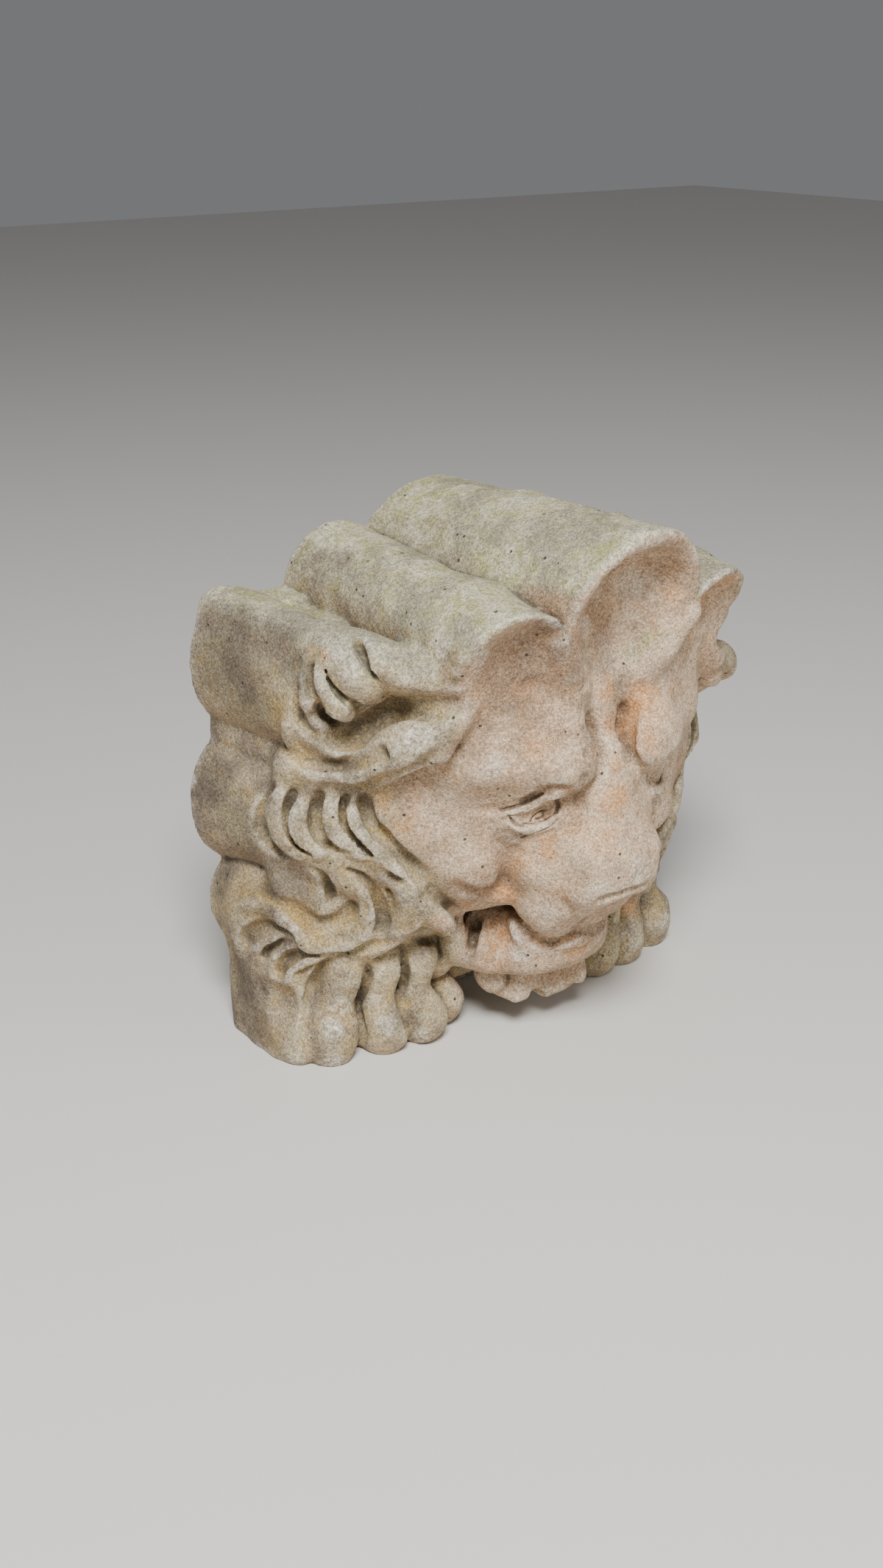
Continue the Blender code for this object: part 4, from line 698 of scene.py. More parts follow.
# Lines too fine for the grid, round the eye: width and height in millimetres, then points.
fineLines = {
    "crease over the lid": (0.6, -1.3, [(-54.4, -51.3, 134.2), (-49.5, -54.6, 133.9), (-44.9, -58, 135.2),
                                        (-40.2, -61.3, 137), (-36.2, -65.5, 140.6), (-35.4, -71.2, 144.8),
                                        (-33.4, -75.3, 147), (-30.8, -76.7, 146)]),
    "end of the crease": (0.4, -1.0, [(-30.8, -76.7, 146), (-27.2, -75.3, 142.6), (-21.9, -71, 137.2),
                                      (-22.1, -70.9, 135.4)]),
    "upper lid": (1.3, 1.2, [(-49.6, -56.1, 132.7), (-45.7, -59, 133.7), (-41.1, -62.5, 135.4),
                             (-36.7, -66.1, 138.7), (-35.5, -71.3, 143), (-33.7, -75.8, 145.2),
                             (-29.9, -75.8, 143.1)]),
    "under the upper lid": (0.5, -1.1, [(-46.8, -59.5, 132.7), (-43.7, -61.2, 132.8), (-40.6, -64.2, 135),
                                        (-37.3, -66.9, 137.9), (-36, -72, 141.8), (-34.2, -75.6, 143.2),
                                        (-26.9, -69.3, 137.9)]),
    "inner corner": (1.0, -1.7, [(-26.7, -69.1, 137.5), (-25.9, -68.9, 135), (-26.8, -68.5, 132.3)]),
    "outer corner": (0.8, -1.3, [(-46.5, -59.6, 132.4), (-44.5, -60, 129.8), (-42.2, -61.3, 127.7),
                                 (-40, -62.3, 127)]),
    "over the lower lid": (0.4, -0.9, [(-39.6, -61.8, 128), (-36.2, -63.6, 127.6), (-32.1, -65.5, 128.4),
                                       (-29.5, -66.8, 129.8), (-27.5, -68, 131.6)]),
    "rim of the iris": (0.9, 0.6, [(-37, -62.2, 129.5), (-34.5, -63.2, 132.4), (-31.8, -64.9, 134.4),
                                   (-29.3, -66.4, 134.7), (-27.7, -67.3, 133.3)]),
    "ring of the iris": (0.45, -1.1, [(-36.4, -62.8, 128.6), (-35.2, -62.8, 130.6), (-32.7, -63.8, 132.5),
                                      (-30.3, -65, 132.9)]),
    "side of the pupil": (0.4, -1.0, [(-31.4, -64.3, 132.5), (-30.9, -64.6, 130.9), (-32.3, -64.3, 129.6),
                                      (-34.3, -63.5, 129.3)]),
    "pupil": (0.9, 0.5, [(-33.7, -63.4, 130.4), (-32.9, -63.7, 130.9), (-32.2, -63.9, 131.4)]),
    "lower lid fold": (1.2, 1.1, [(-43.5, -62, 126.1), (-38.4, -64.1, 126), (-34.3, -65.9, 126.8),
                                  (-30.8, -67.5, 128.3), (-28, -68.6, 130.2)]),
    "under the lower lid": (0.55, -1.1, [(-38.6, -59.4, 119.7), (-37.5, -60.8, 121), (-36.1, -65.9, 123.5),
                                         (-33.8, -67.6, 124.8), (-31.4, -69.2, 126.4), (-29.1, -70, 128.2),
                                         (-27.1, -69.9, 129.3)]),
}

# Where the mesh is made finer: place and reach in millimetres
fineSpots = [(-35.6, -62.8, 131.9, 15.5)]


# Both sides read as one: a point right of the middle goes to its place on the left.
def foldedOver(points):
    return np.stack([-np.abs(points[:, 0]), points[:, 1], points[:, 2]], axis=1)


# Fine relief: the sum over the lines of height * e^-(distance / width)^2.
def fineRelief(points):
    folded = foldedOver(points)
    height = np.zeros(len(points))
    for width, rise, line in fineLines.values():
        rows = smoothRows(line, 4)
        nearest = np.full(len(points), farAway)
        for start, end in zip(rows[:-1], rows[1:]):
            step = end - start
            share = np.clip((folded - start) @ step / max(step @ step, 1e-6), 0, 1)
            nearest = np.minimum(nearest, np.linalg.norm(folded - start - share[:, None] * step, axis=1))
        height += rise * np.exp(-(nearest / width) ** 2)
    return height


# Share of the fine relief at each point: all of it near the fine spots, none beyond their reach.
def fineShare(points):
    folded = foldedOver(points)
    share = np.zeros(len(points))
    for x, y, z, reach in fineSpots:
        share = np.maximum(share, easedStep(1, 0.8, np.linalg.norm(folded - (x, y, z), axis=1) / reach))
    return share


# Near the fine spots each face is cut into four, twice, and the new points are moved onto the field's
# surface: point less distance times slope.
def refineMesh(mesh, field):
    shape = bmesh.new()
    shape.from_mesh(mesh)
    for _ in range(2):
        points = np.array([vertex.co for vertex in shape.verts])
        near = fineShare(points) > 0.01
        shape.edges.ensure_lookup_table()
        chosen = [edge for edge in shape.edges if near[edge.verts[0].index] and near[edge.verts[1].index]]
        bmesh.ops.subdivide_edges(shape, edges=chosen, cuts=1, use_grid_fill=True)
        bmesh.ops.triangulate(shape, faces=[face for face in shape.faces if len(face.verts) > 3])
        shape.verts.index_update()
    shape.to_mesh(mesh)
    shape.free()
    points = np.empty(len(mesh.vertices) * 3, np.float32)
    mesh.vertices.foreach_get("co", points)
    points = points.reshape(-1, 3).astype(float)
    share = fineShare(points)
    near = share > 0.01
    for _ in range(2):
        gap = readGrid(field["samples"], field, points[near])
        points[near] -= surfaceSlope(field, points[near]) * (gap * share[near])[:, None]
    lift = fineRelief(points[near]) * share[near]
    points[near] += surfaceSlope(field, points[near]) * lift[:, None]
    relief = np.zeros(len(points))
    relief[near] = lift
    print("fine lines cut on", int(near.sum()), "points")
    return points, relief


# Tints on the stone: place and radius in millimetres, and strength.
orangeSpots = [(15.7, -72.6, 174.6, 16, 1.0), (13.8, -71.5, 163.6, 14, 0.9), (12.5, -79.6, 158.9, 12, 0.8),
               (-2.9, -80.1, 134.6, 13, 0.75), (-10.2, -81, 123.6, 12, 0.5), (-46.5, -67.4, 193.7, 7, 0.7),
               (-21, -75, 124.3, 9, 0.5), (-30.1, -67.3, 114.5, 12, 0.8), (-37.2, -57, 104.8, 12, 0.6),
               (-37.3, -46.2, 86.9, 12, 0.9), (-52.1, -36, 81.2, 9, 0.6), (-28.6, -30, 55.1, 14, 0.9),
               (-36.4, -34, 46.8, 12, 0.8), (71.9, -11.1, 36.3, 12, 1.0), (-1.7, -55.8, 51.3, 10, 0.5),
               (-83.9, -34.8, 124.8, 14, 0.5), (-89.6, -28.2, 137.2, 10, 0.4),
               (-112.1, -19.1, 211.2, 7, 0.9), (-82.7, -53.8, 204.4, 6, 0.5), (61.3, -76.3, 223.4, 12, 0.7),
               (58.7, -69.6, 216.8, 10, 0.6), (-67.3, -38.5, 76.8, 9, 0.6), (25.6, -81.1, 223.6, 9, 0.5),
               (-113.4, -12, 211.3, 5, 0.6), (-47.8, -68.7, 153.3, 8, 0.4), (-42.3, -72.3, 164, 9, 0.4),
               (-34.2, -79.3, 201.5, 8, 0.3), (0.9, -67.9, 183.8, 8, 0.8), (1.1, -71.1, 168.2, 8, 0.8),
               (-0.3, -77.4, 151.9, 8, 0.8), (-0.5, -79.8, 137.7, 9, 0.7), (-14.2, -83.3, 117.9, 8, 0.5),
               (-25.6, -73.5, 98.1, 9, 0.5), (-35, -62.3, 115.9, 8, 0.5)]
ochreSpots = [(-121.2, 18.9, 83.8, 16, 0.9), (-126.4, 34.6, 85.1, 13, 0.8), (-110.4, 9.3, 78.4, 14, 0.9),
              (-98.8, -2.3, 73.5, 8, 0.6), (-120.6, 6.5, 178.1, 12, 0.9), (-117, 10.1, 164.7, 11, 0.8),
              (-113.8, -0.7, 159.9, 10, 0.8), (-123, 22.2, 11, 14, 0.7), (-116.4, -11.8, 190, 9, 0.7),
              (-123.6, 25.1, 131.2, 8, 0.6), (-113.3, -14.9, 210.3, 6, 0.8), (-96.6, -9.8, 11.8, 9, 0.5),
              (-118.1, -0.3, 147.9, 8, 0.6), (-103.2, 5.3, 51.2, 9, 0.7), (-109.9, 0.7, 69.7, 12, 0.8),
              (-116.7, 18.3, 47.9, 10, 0.6), (-89, -27.5, 146.1, 9, 0.4), (-96.1, -18.3, 97, 9, 0.4),
              (-125.4, 23.1, 73.3, 12, 0.8), (-119.3, -1.3, 183.2, 8, 0.6), (-130.5, 42.9, 74.9, 10, 0.6),
              (-89.7, -52.1, 181.2, 8, 0.4), (-123.2, 20.8, 192.1, 16, 0.4), (-76.1, -66.5, 206.5, 12, 0.4),
              (-32.5, -75.8, 239.4, 14, 0.35), (-23.4, -29.2, 63.6, 12, 0.5),
              (-32.4, -65.1, 100.7, 12, 0.6), (-80.1, -38.5, 138.3, 10, 0.4), (-24.4, -73.9, 117.2, 8, 0.5),
              (-85.3, -21.1, 89.1, 12, 0.6), (-79.5, -31, 77.5, 10, 0.5), (-43.2, -5.9, 28.1, 10, 0.6),
              (-87.5, -10.8, 55.2, 12, 0.6), (-97.7, -5.4, 27.1, 10, 0.6), (-120.6, -2.5, 117.3, 14, 0.5),
              (-115.1, -25.7, 189.4, 8, 0.5), (-79, -10.8, 31.6, 9, 0.5), (-5.8, -87.9, 99.9, 12, 0.5),
              (98.7, -7, 24.3, 9, 0.5)]
# Painted shade: spots on the forehead under the rims of the scoops, beside the bridge and on the outer
# sides, where a grey is multiplied in to stand for shade.
paintedShadeSpots = [(-47.8, -68.9, 205.5, 17, 1.0), (-52.6, -65.8, 189.5, 14, 0.6), (-39.7, -82.6, 213.8, 13, 0.9),
             (-28.8, -80.6, 200.7, 9, 0.8), (-64, -66.8, 204.1, 12, 0.7), (6.6, -68.5, 184.2, 10, 0.8),
             (3.3, -70.6, 168.6, 9, 0.8), (-17.2, -77.2, 168.5, 7, 0.8), (-12.1, -71.2, 180.3, 7, 0.7),
             (-71.8, -45.4, 144.2, 14, 0.5), (-65.3, -57.3, 170.1, 14, 0.35),
             (-127.6, 41.1, 191.7, 28, 1.0), (-124.1, 23.1, 179, 24, 0.8), (-130.7, 51.2, 133.5, 22, 1.0),
             (-127.8, 34, 124.2, 18, 0.8), (-125.3, 33.6, 105.4, 14, 0.6), (-123.3, 19.3, 82.8, 17, 0.8),
             (-127.1, 52.6, 80.2, 15, 0.7), (-124, 42, 33.1, 20, 0.6), (-116.4, -3.8, 197.5, 14, 0.7),
             (-115, 10.1, 212.9, 16, 0.7), (-122.1, 37.9, 210.7, 20, 0.8), (-124.3, 64.1, 153.5, 14, 0.8),
             (-78.8, -36.5, 116.5, 10, 0.3), (-41.6, -74.5, 153.7, 9, 0.3), (-89.2, -27.2, 115.9, 8, 0.4),
             (13.2, -68.4, 203.2, 16, 0.4), (20.7, -76.4, 189.3, 9, 0.5), (-102.2, -30, 187.9, 10, 0.5),
             (-74.3, -59, 190.3, 8, 0.4), (-35.3, -32.6, 50, 8, 0.5), (-40.1, -20.4, 65.1, 8, 0.4),
             (-123.1, 31.6, 14.4, 12, 0.4), (-82.9, 13, 209.6, 9, 0.4), (0.7, -65.9, 194.2, 11, 0.9),
             (7.2, -69, 175.4, 8, 0.8), (13.3, -71.4, 152.4, 7, 0.5), (-44, -81.4, 222.7, 14, 1.0),
             (-46.6, -70.9, 213.7, 12, 0.8), (-24.2, -82.6, 152, 5, 0.8), (-17.9, -73.3, 138.1, 5, 0.7),
             (0.3, -64.8, 204.8, 12, 0.8)]
# Dark spots, partly dirt stains and partly painted shade: in the crease beside the bridge, the ear bowl,
# under the eye, in the mouth and in the grooves of the mane.
dirtAndShadeSpots = [(11.3, -67.2, 172.2, 8, 0.9), (7, -68.9, 181, 6, 0.7), (-7, -65.9, 168.4, 5, 0.9),
              (-14.3, -77, 166.2, 4, 0.8), (12.5, -69.7, 152, 5, 0.7), (-40.7, -58.2, 119.7, 9, 0.55),
              (-47.4, -55.3, 122.4, 7, 0.5), (-120.8, 24, 115.4, 12, 0.7), (-125.6, 8.1, 133.8, 8, 0.5),
              (-110.1, -2.7, 127.9, 7, 0.8), (-111.7, -14.6, 126.9, 7, 0.8), (-93, -16, 170.9, 9, 0.8),
              (-88.1, -21, 173.1, 8, 0.8), (-111.1, -12.5, 168.5, 9, 0.6), (-117.5, -11.3, 192.8, 8, 0.6),
              (-90.7, -17.5, 133.7, 8, 0.6), (-80.8, -27.3, 115.5, 9, 0.6), (-100.3, -2, 89.9, 7, 0.8),
              (-82.5, -16.8, 78.5, 6, 0.9), (-28.6, -14.8, 55.1, 8, 0.9), (-38.5, -24.6, 47.6, 8, 0.8),
              (-118.5, 36.7, 215.7, 4, 0.8), (-77.7, -63.3, 202.6, 4, 0.9), (-75, -59.9, 194.2, 3, 0.9),
              (-8.3, -67.4, 195.5, 5, 0.7), (8.7, -69.2, 188, 6, 0.5), (-108.2, -11.4, 105.6, 6, 0.6),
              (-117.3, 16.5, 59.2, 7, 0.6), (-91.5, -6.5, 40.2, 8, 0.5), (-73.2, -12, 26, 7, 0.5),
              (-35.1, -81.6, 232.9, 4, 0.7), (-94.9, -25.2, 183.1, 8, 0.5), (-127.7, 40.4, 189.4, 3, 0.6),
              (-126.8, 53.6, 141.8, 3, 0.7), (-13.8, -52.7, 56.9, 4, 0.9), (-74.5, -36.4, 95.9, 6, 0.6),
              (-82.1, -55.6, 164.5, 3, 0.8), (-99.9, -12.8, 138.2, 6, 0.7), (-115.6, -2.6, 144.3, 5, 0.4),
              (-20.1, -76.2, 172.7, 3, 0.9), (-22.7, -80.8, 163.9, 3, 0.9), (-23.4, -82.9, 153.8, 3, 0.8),
              (-19.7, -74.8, 181.2, 3, 0.8)]
# Pale spots, partly rubbed wear and partly painted highlight: on the brow, the jowl, the nose, the ear rim,
# the tufts, the toes and the tops of the rolls.
paleAndHighlightSpots = [(-57, -64, 159.4, 7, 0.7), (-58.3, -63, 155.8, 5, 0.5), (-28.2, -44.1, 63, 8, 0.8),
             (-26.3, -45, 52.4, 7, 0.7), (5.7, -88, 102.5, 10, 0.7), (-16.7, -87.1, 99, 10, 0.4),
             (-91.2, -54.2, 178.6, 12, 0.8), (-97.2, -51.3, 172.1, 10, 0.5), (-45.3, -71, 153.4, 9, 0.3),
             (-106.2, -30.6, 202.8, 9, 0.6), (-110.2, -25, 209, 7, 0.5), (-119.3, -1.5, 135.5, 8, 0.5),
             (-106.3, -16.2, 137.3, 6, 0.4), (-105, -6.1, 21.5, 8, 0.9), (-81.1, -13.4, 18.7, 9, 0.6),
             (-82.4, -9.1, 29.8, 7, 0.6), (-62.1, -15.6, 6.6, 9, 0.7), (-105.3, -5.8, 3.4, 9, 1.0),
             (-4.2, -96.3, 254.2, 14, 0.5), (-4.6, -12.5, 256, 16, 0.5), (-36.2, 27.4, 234.6, 12, 0.4),
             (-65.8, 44.2, 235.8, 9, 0.3), (13.2, -69.4, 228.3, 12, 0.5), (-79, -54.3, 214, 9, 0.6),
             (-71.5, -71, 213.6, 8, 0.5), (-14.2, -68.1, 215.4, 8, 0.6), (-98.5, -3.4, 30.7, 9, 0.5),
             (73.9, -16.1, 17.2, 10, 0.6), (102.6, -9.5, 14.8, 8, 0.8), (-25.3, -72.2, 118.8, 4, 0.3),
             (-26.1, -66.5, 81.7, 10, 0.4), (-119.1, 6.8, 3.3, 9, 0.6), (-82.3, -32.2, 92.6, 8, 0.4),
             (-93.1, -42.8, 180.8, 6, 0.4)]


# Half width of the face at each height, where the pink clay colour of the face gives way to the mane.
faceOutline = {"height": [30, 55, 75, 95, 125, 150, 180, 205, 225, 240],
               "half": [40, 46, 50, 64, 84, 88, 76, 80, 62, 30]}


# Each spot fades out from its middle: strength * (1 - distance / radius), eased. The strongest one counts.
def spotTint(points, spots):
    tint = np.zeros(len(points))
    for x, y, z, radius, strength in spots:
        distance = np.linalg.norm(points - (x, y, z), axis=1)
        tint = np.maximum(tint, strength * (1 - easedStep(0.25, 1.0, distance / radius)))
    return tint


# Shares from none to one for the material: each is an eased step of the share of stone around a point, of
# the relief, of the slope or of the place.
def surfaceTints(field, points, relief):
    slope = surfaceSlope(field, points)
    fine, broad = [readGrid(stoneShare(field["samples"], field["step"], reach), field, points + slope * 0.3)
                   for reach in shareReach.values()]
    across, height = np.abs(points[:, 0]), points[:, 2]
    half = np.interp(height, faceOutline["height"], faceOutline["half"])
    onTop = easedStep(0.15, 0.5, slope[:, 2]) * easedStep(178, 196, height)
    onFace = easedStep(-4, 5, half - across) * easedStep(6, -6, points[:, 1]) * easedStep(14, 22, height)
    return {
        # crease and hollow: painted shade with some grime, darker where much stone lies around a point and
        # in the fine grooves
        "crease": np.maximum(easedStep(0.525, 0.63, fine), easedStep(-0.3, -1.1, relief)),
        "hollow": easedStep(0.57, 0.74, broad),
        "worn": np.maximum(easedStep(0.44, 0.3, fine), 0.6 * easedStep(0.6, 1.3, relief)),
        "face": onFace * (1 - onTop),
        "top": onTop,
        # under: painted shade on surfaces that face down
        "under": easedStep(0.1, 0.6, -slope[:, 2]),
        "side": easedStep(0.45, 0.85, np.abs(slope[:, 0])) * easedStep(-14, 14, points[:, 1]),
        "orange": spotTint(points, orangeSpots),
        "ochre": spotTint(points, ochreSpots),
        "paintedShade": spotTint(points, paintedShadeSpots),
        "dirtAndShade": spotTint(points, dirtAndShadeSpots),
        "pale": spotTint(points, paleAndHighlightSpots),
    }


# The visual mesh: the grid spacing in millimetres, the faces kept before the eyes are made finer, and how
# far the grid's own middle lies before the part's.
meshSettings = {"step": 1.0, "triangles": 160000, "shift": 19.5}


# The skin of the field with fewer faces, finer round the eyes, placed in metres and given its tints.
def buildGargoyle():
    field = carveStone(meshSettings["step"])
    points, faces = skinOf(field)
    print("skin has", len(points), "points")
    mesh = bpy.data.meshes.new("gargoyle stone")
    mesh.vertices.add(len(points))
    mesh.vertices.foreach_set("co", points.astype(np.float32).ravel())
    mesh.loops.add(faces.size)
    mesh.loops.foreach_set("vertex_index", faces.astype(np.int32).ravel())
    mesh.polygons.add(len(faces))
    mesh.polygons.foreach_set("loop_start", np.arange(0, faces.size, 4, dtype=np.int32))
    mesh.update(calc_edges=True)
    mesh.validate()
    rough = bpy.data.objects.new("rough stone", mesh)
    bpy.context.scene.collection.objects.link(rough)
    fewer = rough.modifiers.new("fewer faces", "DECIMATE")
    fewer.ratio = meshSettings["triangles"] / (2 * len(faces))
    fewer.use_collapse_triangulate = True
    evaluated = rough.evaluated_get(bpy.context.evaluated_depsgraph_get())
    finished = bpy.data.meshes.new_from_object(evaluated)
    bpy.data.objects.remove(rough)
    print("mesh has", len(finished.polygons), "faces")
    points, relief = refineMesh(finished, field)
    for name, values in surfaceTints(field, points, relief).items():
        attribute = finished.attributes.new(name, "FLOAT", "POINT")
        attribute.data.foreach_set("value", values.astype(np.float32))
    placed = (points + (0, meshSettings["shift"], 0)) * 0.001
    finished.vertices.foreach_set("co", placed.astype(np.float32).ravel())
    finished.polygons.foreach_set("use_smooth", np.ones(len(finished.polygons), bool))
    finished.update()
    stone = bpy.data.objects.new("gargoyle_stone", finished)
    bpy.context.scene.collection.objects.link(stone)
    print("tints set")
    return stone


# sRGB hex to linear: below 0.04045 a straight line, above it ((c + 0.055) / 1.055) to the power 2.4
def linear(hexColour):
    parts = [int(hexColour[k:k + 2], 16) / 255 for k in (1, 3, 5)]
    return tuple(c / 12.92 if c <= 0.04045 else ((c + 0.055) / 1.055) ** 2.4 for c in parts) + (1.0,)


# Node with its settings, each input set to a value or joined to another node's output.
def addNode(tree, kind, settings=None, inputs=None):
    node = tree.nodes.new(kind)
    for name, value in (settings or {}).items():
        setattr(node, name, value)
    for name, value in (inputs or {}).items():
        if isinstance(value, bpy.types.NodeSocket):
            tree.links.new(value, node.inputs[name])
        else:
            node.inputs[name].default_value = value
    return node


# Colours of the weathered cast stone, from the photo
stoneColours = {
    "mane": "#ae9f7e",
    "maneDark": "#857862",
    "side": "#75685a",
    "face": "#c4ad92",
    # dark tone of the face, also painted as shade on the undersides
    "faceDarkAndUnderShade": "#a2866b",
    "top": "#b8b196",
    "topGreen": "#a19c70",
    "topDark": "#8a8470",
    "faceWarm": "#bd966f",
    # grey multiplied in as painted shade
    "paintedShade": "#c4c4c6",
    "orange": "#c4905f",
    "ochre": "#ad9057",
    "pale": "#d0c9bb",
    # dark of dirt and loose specks, also used for painted shade in the creases
    "dirtAndShade": "#3e362c",
    # painted shade inside the pits
    "pitShade": "#332c25",
}

# Sizes of the surface patterns in millimetres, and the bump heights in metres
stoneSizes = {"mottle": 26.0, "patch": 8.0, "speckle": 2.6, "grain": 1.3, "sand": 0.6,
              "pitCell": 8.0, "pit": 0.85, "specks": 3.4, "speck": 0.5,
              "patchBump": 0.0009, "speckleBump": 0.0006, "grainBump": 0.0005, "pitBump": 0.0016}


# Cast stone with a clay slip, left outdoors: a matt, grainy and mottled body, painted shade with some grime
# in the creases and hollows, painted shade under the rims and in the pits, pale worn edges and pale spots
# with some painted highlight, green-grey lichen on top and the open pits of the casting.
def weatheredCastStone():
    material = bpy.data.materials.new("weathered cast stone")
    material.use_nodes = True
    tree = material.node_tree
    tree.nodes.clear()
    place = addNode(tree, "ShaderNodeTexCoord").outputs["Object"]
    tint = {name: addNode(tree, "ShaderNodeAttribute", {"attribute_name": name}).outputs["Fac"]
            for name in ("crease", "hollow", "worn", "face", "top", "under", "side",
                         "orange", "ochre", "paintedShade", "dirtAndShade", "pale")}

    def noise(millimetres, detail, roughness=0.6, seed=0.0):
        return addNode(tree, "ShaderNodeTexNoise", {"noise_dimensions": "4D"},
                       {"Vector": place, "W": seed, "Scale": 1000 / millimetres, "Detail": detail,
                        "Roughness": roughness}).outputs["Fac"]

    def between(value, low, high, outLow=0.0, outHigh=1.0):
        return addNode(tree, "ShaderNodeMapRange", {"interpolation_type": "SMOOTHSTEP"},
                       {"Value": value, "From Min": low, "From Max": high, "To Min": outLow,
                        "To Max": outHigh}).outputs["Result"]

    def maths(operation, one, two):
        return addNode(tree, "ShaderNodeMath", {"operation": operation, "use_clamp": True},
                       {0: one, 1: two}).outputs["Value"]

    def mixed(share, below, above, blend="MIX"):
        node = addNode(tree, "ShaderNodeMix", {"data_type": "RGBA", "blend_type": blend}, {0: share})
        for socket, value in ((node.inputs[6], below), (node.inputs[7], above)):
            if isinstance(value, bpy.types.NodeSocket):
                tree.links.new(value, socket)
            else:
                socket.default_value = value
        return node.outputs[2]

    # scattered dots: the middles of some cells of a random pattern
    def dots(cell, radius, share):
        cells = addNode(tree, "ShaderNodeTexVoronoi", {}, {"Vector": place, "Scale": 1000 / cell})
        parts = addNode(tree, "ShaderNodeSeparateColor", {}, {"Color": cells.outputs["Color"]})
        reach = radius / cell
        inDot = between(cells.outputs["Distance"], reach, reach * 0.6)
        return maths("MULTIPLY", inDot, between(parts.outputs["Red"], share + 0.02, share - 0.02))

    colour = {name: linear(value) for name, value in stoneColours.items()}
    mottle = noise(stoneSizes["mottle"], 5, 0.6, 1.0)
    patches = noise(stoneSizes["patch"], 6, 0.65, 2.0)
    speckle = noise(stoneSizes["speckle"], 4, 0.7, 3.0)
    grain = noise(stoneSizes["grain"], 3, 0.7, 4.0)
    sand = noise(stoneSizes["sand"], 2, 0.6, 5.0)

    # bodies of colour: mane and sides, the warm face, the grey-green top
    body = mixed(between(mottle, 0.38, 0.6), colour["maneDark"], colour["mane"])
    ochreShare = maths("MAXIMUM", maths("MULTIPLY", tint["ochre"], between(patches, 0.3, 0.55)),
                       between(patches, 0.48, 0.64, 0.0, 0.65))
    body = mixed(ochreShare, body, colour["ochre"])
    faceBody = mixed(between(mottle, 0.38, 0.6), colour["faceDarkAndUnderShade"], colour["face"])
    faceBody = mixed(between(patches, 0.48, 0.68, 0.0, 0.55), faceBody, colour["faceWarm"])
    body = mixed(tint["face"], body, faceBody)
    body = mixed(maths("MULTIPLY", tint["orange"], between(patches, 0.32, 0.58)), body, colour["orange"])
    topBody = mixed(between(patches, 0.42, 0.6), colour["top"], colour["topGreen"])
    topBody = mixed(between(mottle, 0.56, 0.42, 0.0, 0.8), topBody, colour["topDark"])
    body = mixed(maths("MULTIPLY", tint["top"], between(speckle, 0.2, 0.5, 0.6, 1.0)), body, topBody)
    # the surfaces turned to the outer sides are darker, and the undersides get painted shade
    sideShare = maths("MULTIPLY", tint["side"], between(mottle, 0.6, 0.4, 0.35, 0.8))
    body = mixed(sideShare, body, colour["side"])
    body = mixed(maths("MULTIPLY", tint["under"], 0.4), body, colour["faceDarkAndUnderShade"])
    # painted shade: a grey multiplied in under the rims, beside the bridge and on the sides
    paintedShadeShare = maths("MULTIPLY", tint["paintedShade"], between(speckle, 0.3, 0.6, 0.75, 1.0))
    body = mixed(paintedShadeShare, body, colour["paintedShade"], "MULTIPLY")
    # worn edges, and pale spots that are partly rubbed wear and partly painted highlight
    paleShare = maths("MULTIPLY", tint["worn"], between(patches, 0.38, 0.66, 0.0, 0.65))
    rubbedAndHighlight = maths("MULTIPLY", tint["pale"], between(speckle, 0.38, 0.6, 0.2, 0.9))
    body = mixed(maths("MAXIMUM", paleShare, rubbedAndHighlight), body, colour["pale"])
    # sandy grain: light and dark grains of three sizes, then loose dark specks
    for grains, low, high in ((speckle, 0.84, 1.16), (grain, 0.66, 1.32), (sand, 0.62, 1.38)):
        body = addNode(tree, "ShaderNodeHueSaturation", {},
                       {"Value": between(grains, 0.3, 0.7, low, high), "Color": body}).outputs["Color"]
    speckShare = maths("MULTIPLY", dots(stoneSizes["specks"], stoneSizes["speck"], 0.45), 0.55)
    body = mixed(speckShare, body, colour["dirtAndShade"])
    # painted shade with some grime in the creases, fine grooves and hollows, and dirt stains with painted
    # shade at a few spots
    creaseShadeShare = maths("MULTIPLY", tint["crease"], between(speckle, 0.3, 0.55, 0.25, 1.0))
    hollowShadeShare = maths("MULTIPLY", tint["hollow"], between(speckle, 0.35, 0.6, 0.15, 0.75))
    stainAndShadeShare = maths("MULTIPLY", tint["dirtAndShade"], between(speckle, 0.4, 0.54))
    dirtAndShadeShare = maths("MAXIMUM", maths("MAXIMUM", creaseShadeShare, hollowShadeShare), stainAndShadeShare)
    body = mixed(maths("MULTIPLY", dirtAndShadeShare, 0.8), body, colour["dirtAndShade"])
    # the open pits of the casting, their insides painted dark as shade
    pit = dots(stoneSizes["pitCell"], stoneSizes["pit"], 0.55)
    body = mixed(maths("MULTIPLY", pit, 0.85), body, colour["pitShade"])

    # relief: patches, speckle, grain and the pits, each bump on the one before
    relief = None
    heights = ((patches, "patchBump"), (speckle, "speckleBump"), (grain, "grainBump"),
               (maths("SUBTRACT", 1.0, pit), "pitBump"))
    for height, name in heights:
        inputs = {"Height": height, "Distance": stoneSizes[name], "Strength": 0.8}
        if relief:
            inputs["Normal"] = relief
        relief = addNode(tree, "ShaderNodeBump", {}, inputs).outputs["Normal"]
    shader = addNode(tree, "ShaderNodeBsdfPrincipled", {},
                     {"Base Color": body, "Roughness": between(speckle, 0.3, 0.7, 0.95, 0.8),
                      "Normal": relief, "Specular IOR Level": 0.3})
    addNode(tree, "ShaderNodeOutputMaterial", {}, {"Surface": shader.outputs["BSDF"]})
    return material


stone = buildGargoyle()
stone.data.materials.append(weatheredCastStone())
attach(stone, "root")
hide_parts("gargoyle")
print("stone finished")

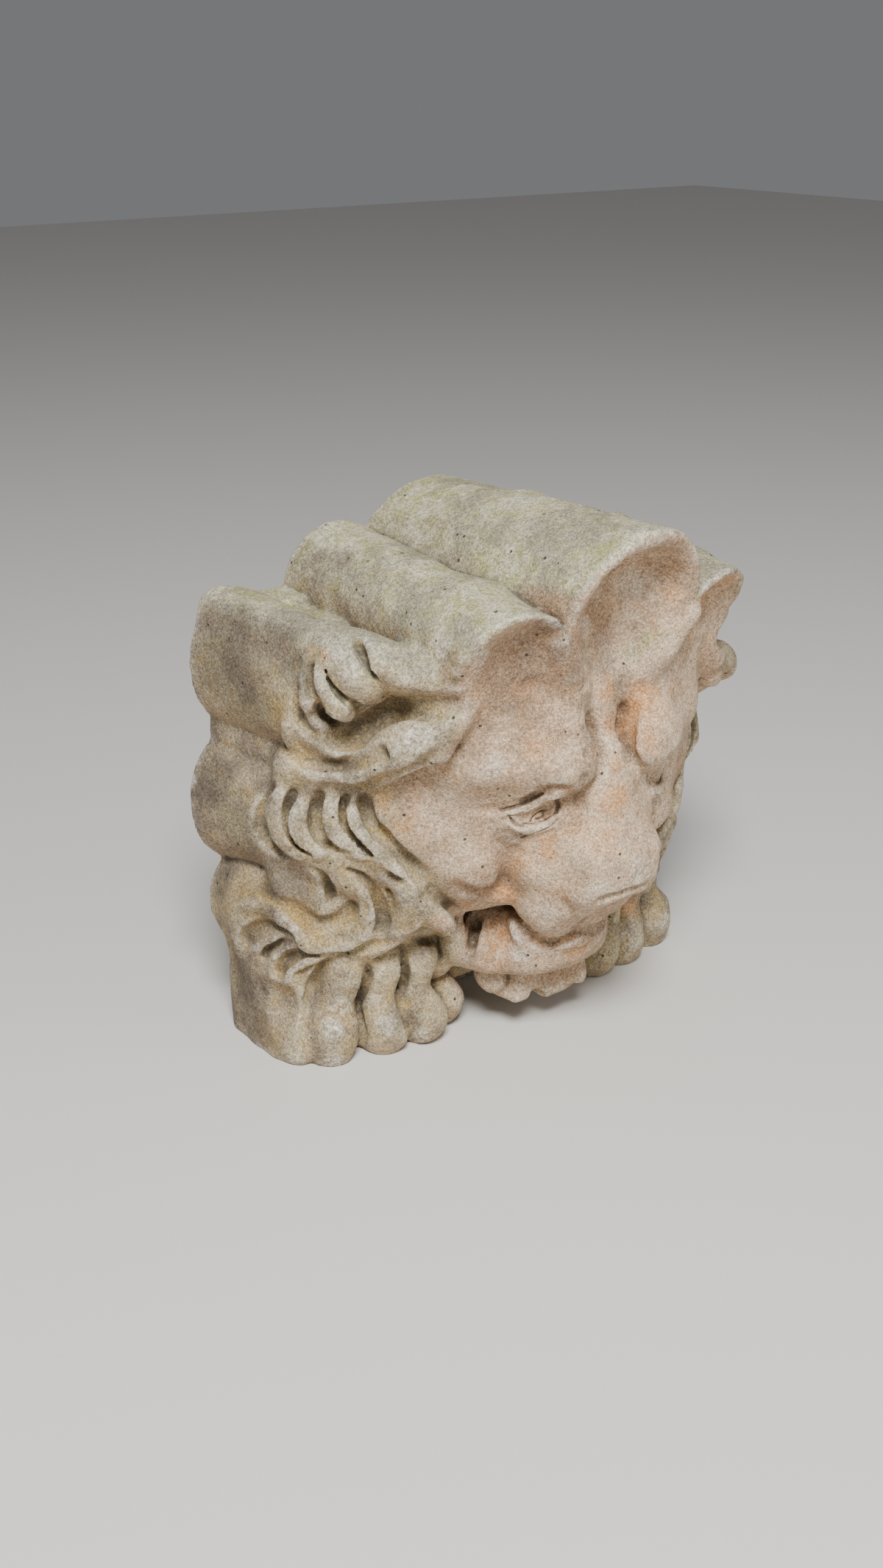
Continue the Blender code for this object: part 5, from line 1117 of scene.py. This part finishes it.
# Studio, in metres: a pale floor, a soft lamp above and left of the camera, a weak one on its right and a
# pale surround. Both lamps aim at the middle of the stone.
studio = {"floor": "#dad7d1", "floorSize": 8, "surround": "#e2e3e6", "surroundStrength": 0.24,
          "key": {"at": (-0.72, -0.95, 1.5), "size": 0.5, "power": 56.0},
          "fill": {"at": (0.9, -1.3, 0.7), "size": 1.0, "power": 5.0},
          "aim": (0, 0, 0.12)}

# The photo's view: place in metres, angles in degrees and the lens in picture points of a frame so high
photoView = {"at": (-0.48679, -0.58424, 0.44), "down": 22.691, "right": 36.621,
             "lensPoints": 2400, "frameHeight": 2131, "sensor": 36}


def addFloor():
    bpy.ops.mesh.primitive_plane_add(size=studio["floorSize"], location=(0, 0, 0))
    floor = bpy.context.object
    floor.name = "floor"
    material = bpy.data.materials.new("matt pale floor")
    material.use_nodes = True
    shader = material.node_tree.nodes["Principled BSDF"]
    shader.inputs["Base Color"].default_value = linear(studio["floor"])
    shader.inputs["Roughness"].default_value = 0.8
    floor.data.materials.append(material)


# Soft lamp, turned so that its light runs down the line from its place to the aim.
def addLamp(name, settings):
    lamp = bpy.data.lights.new(name, "AREA")
    lamp.size = settings["size"]
    lamp.energy = settings["power"]
    holder = bpy.data.objects.new(name, lamp)
    holder.location = settings["at"]
    toStone = np.subtract(studio["aim"], settings["at"])
    flat = math.hypot(toStone[0], toStone[1])
    holder.rotation_euler = (math.atan2(flat, -toStone[2]), 0, math.atan2(-toStone[0], toStone[1]))
    bpy.context.scene.collection.objects.link(holder)


# Focal length = sensor * lens in picture points / height of the frame.
def addCamera():
    camera = bpy.data.cameras.new("camera")
    camera.sensor_width = photoView["sensor"]
    camera.lens = photoView["sensor"] * photoView["lensPoints"] / photoView["frameHeight"]
    holder = bpy.data.objects.new("camera", camera)
    holder.location = photoView["at"]
    holder.rotation_euler = (math.radians(90 - photoView["down"]), 0, math.radians(-photoView["right"]))
    bpy.context.scene.collection.objects.link(holder)
    bpy.context.scene.camera = holder


def addSurround():
    world = bpy.data.worlds.new("surround")
    world.use_nodes = True
    light = world.node_tree.nodes["Background"]
    light.inputs["Color"].default_value = linear(studio["surround"])
    light.inputs["Strength"].default_value = studio["surroundStrength"]
    bpy.context.scene.world = world


addFloor()
addLamp("key lamp", studio["key"])
addLamp("fill lamp", studio["fill"])
addCamera()
addSurround()
print("studio set")
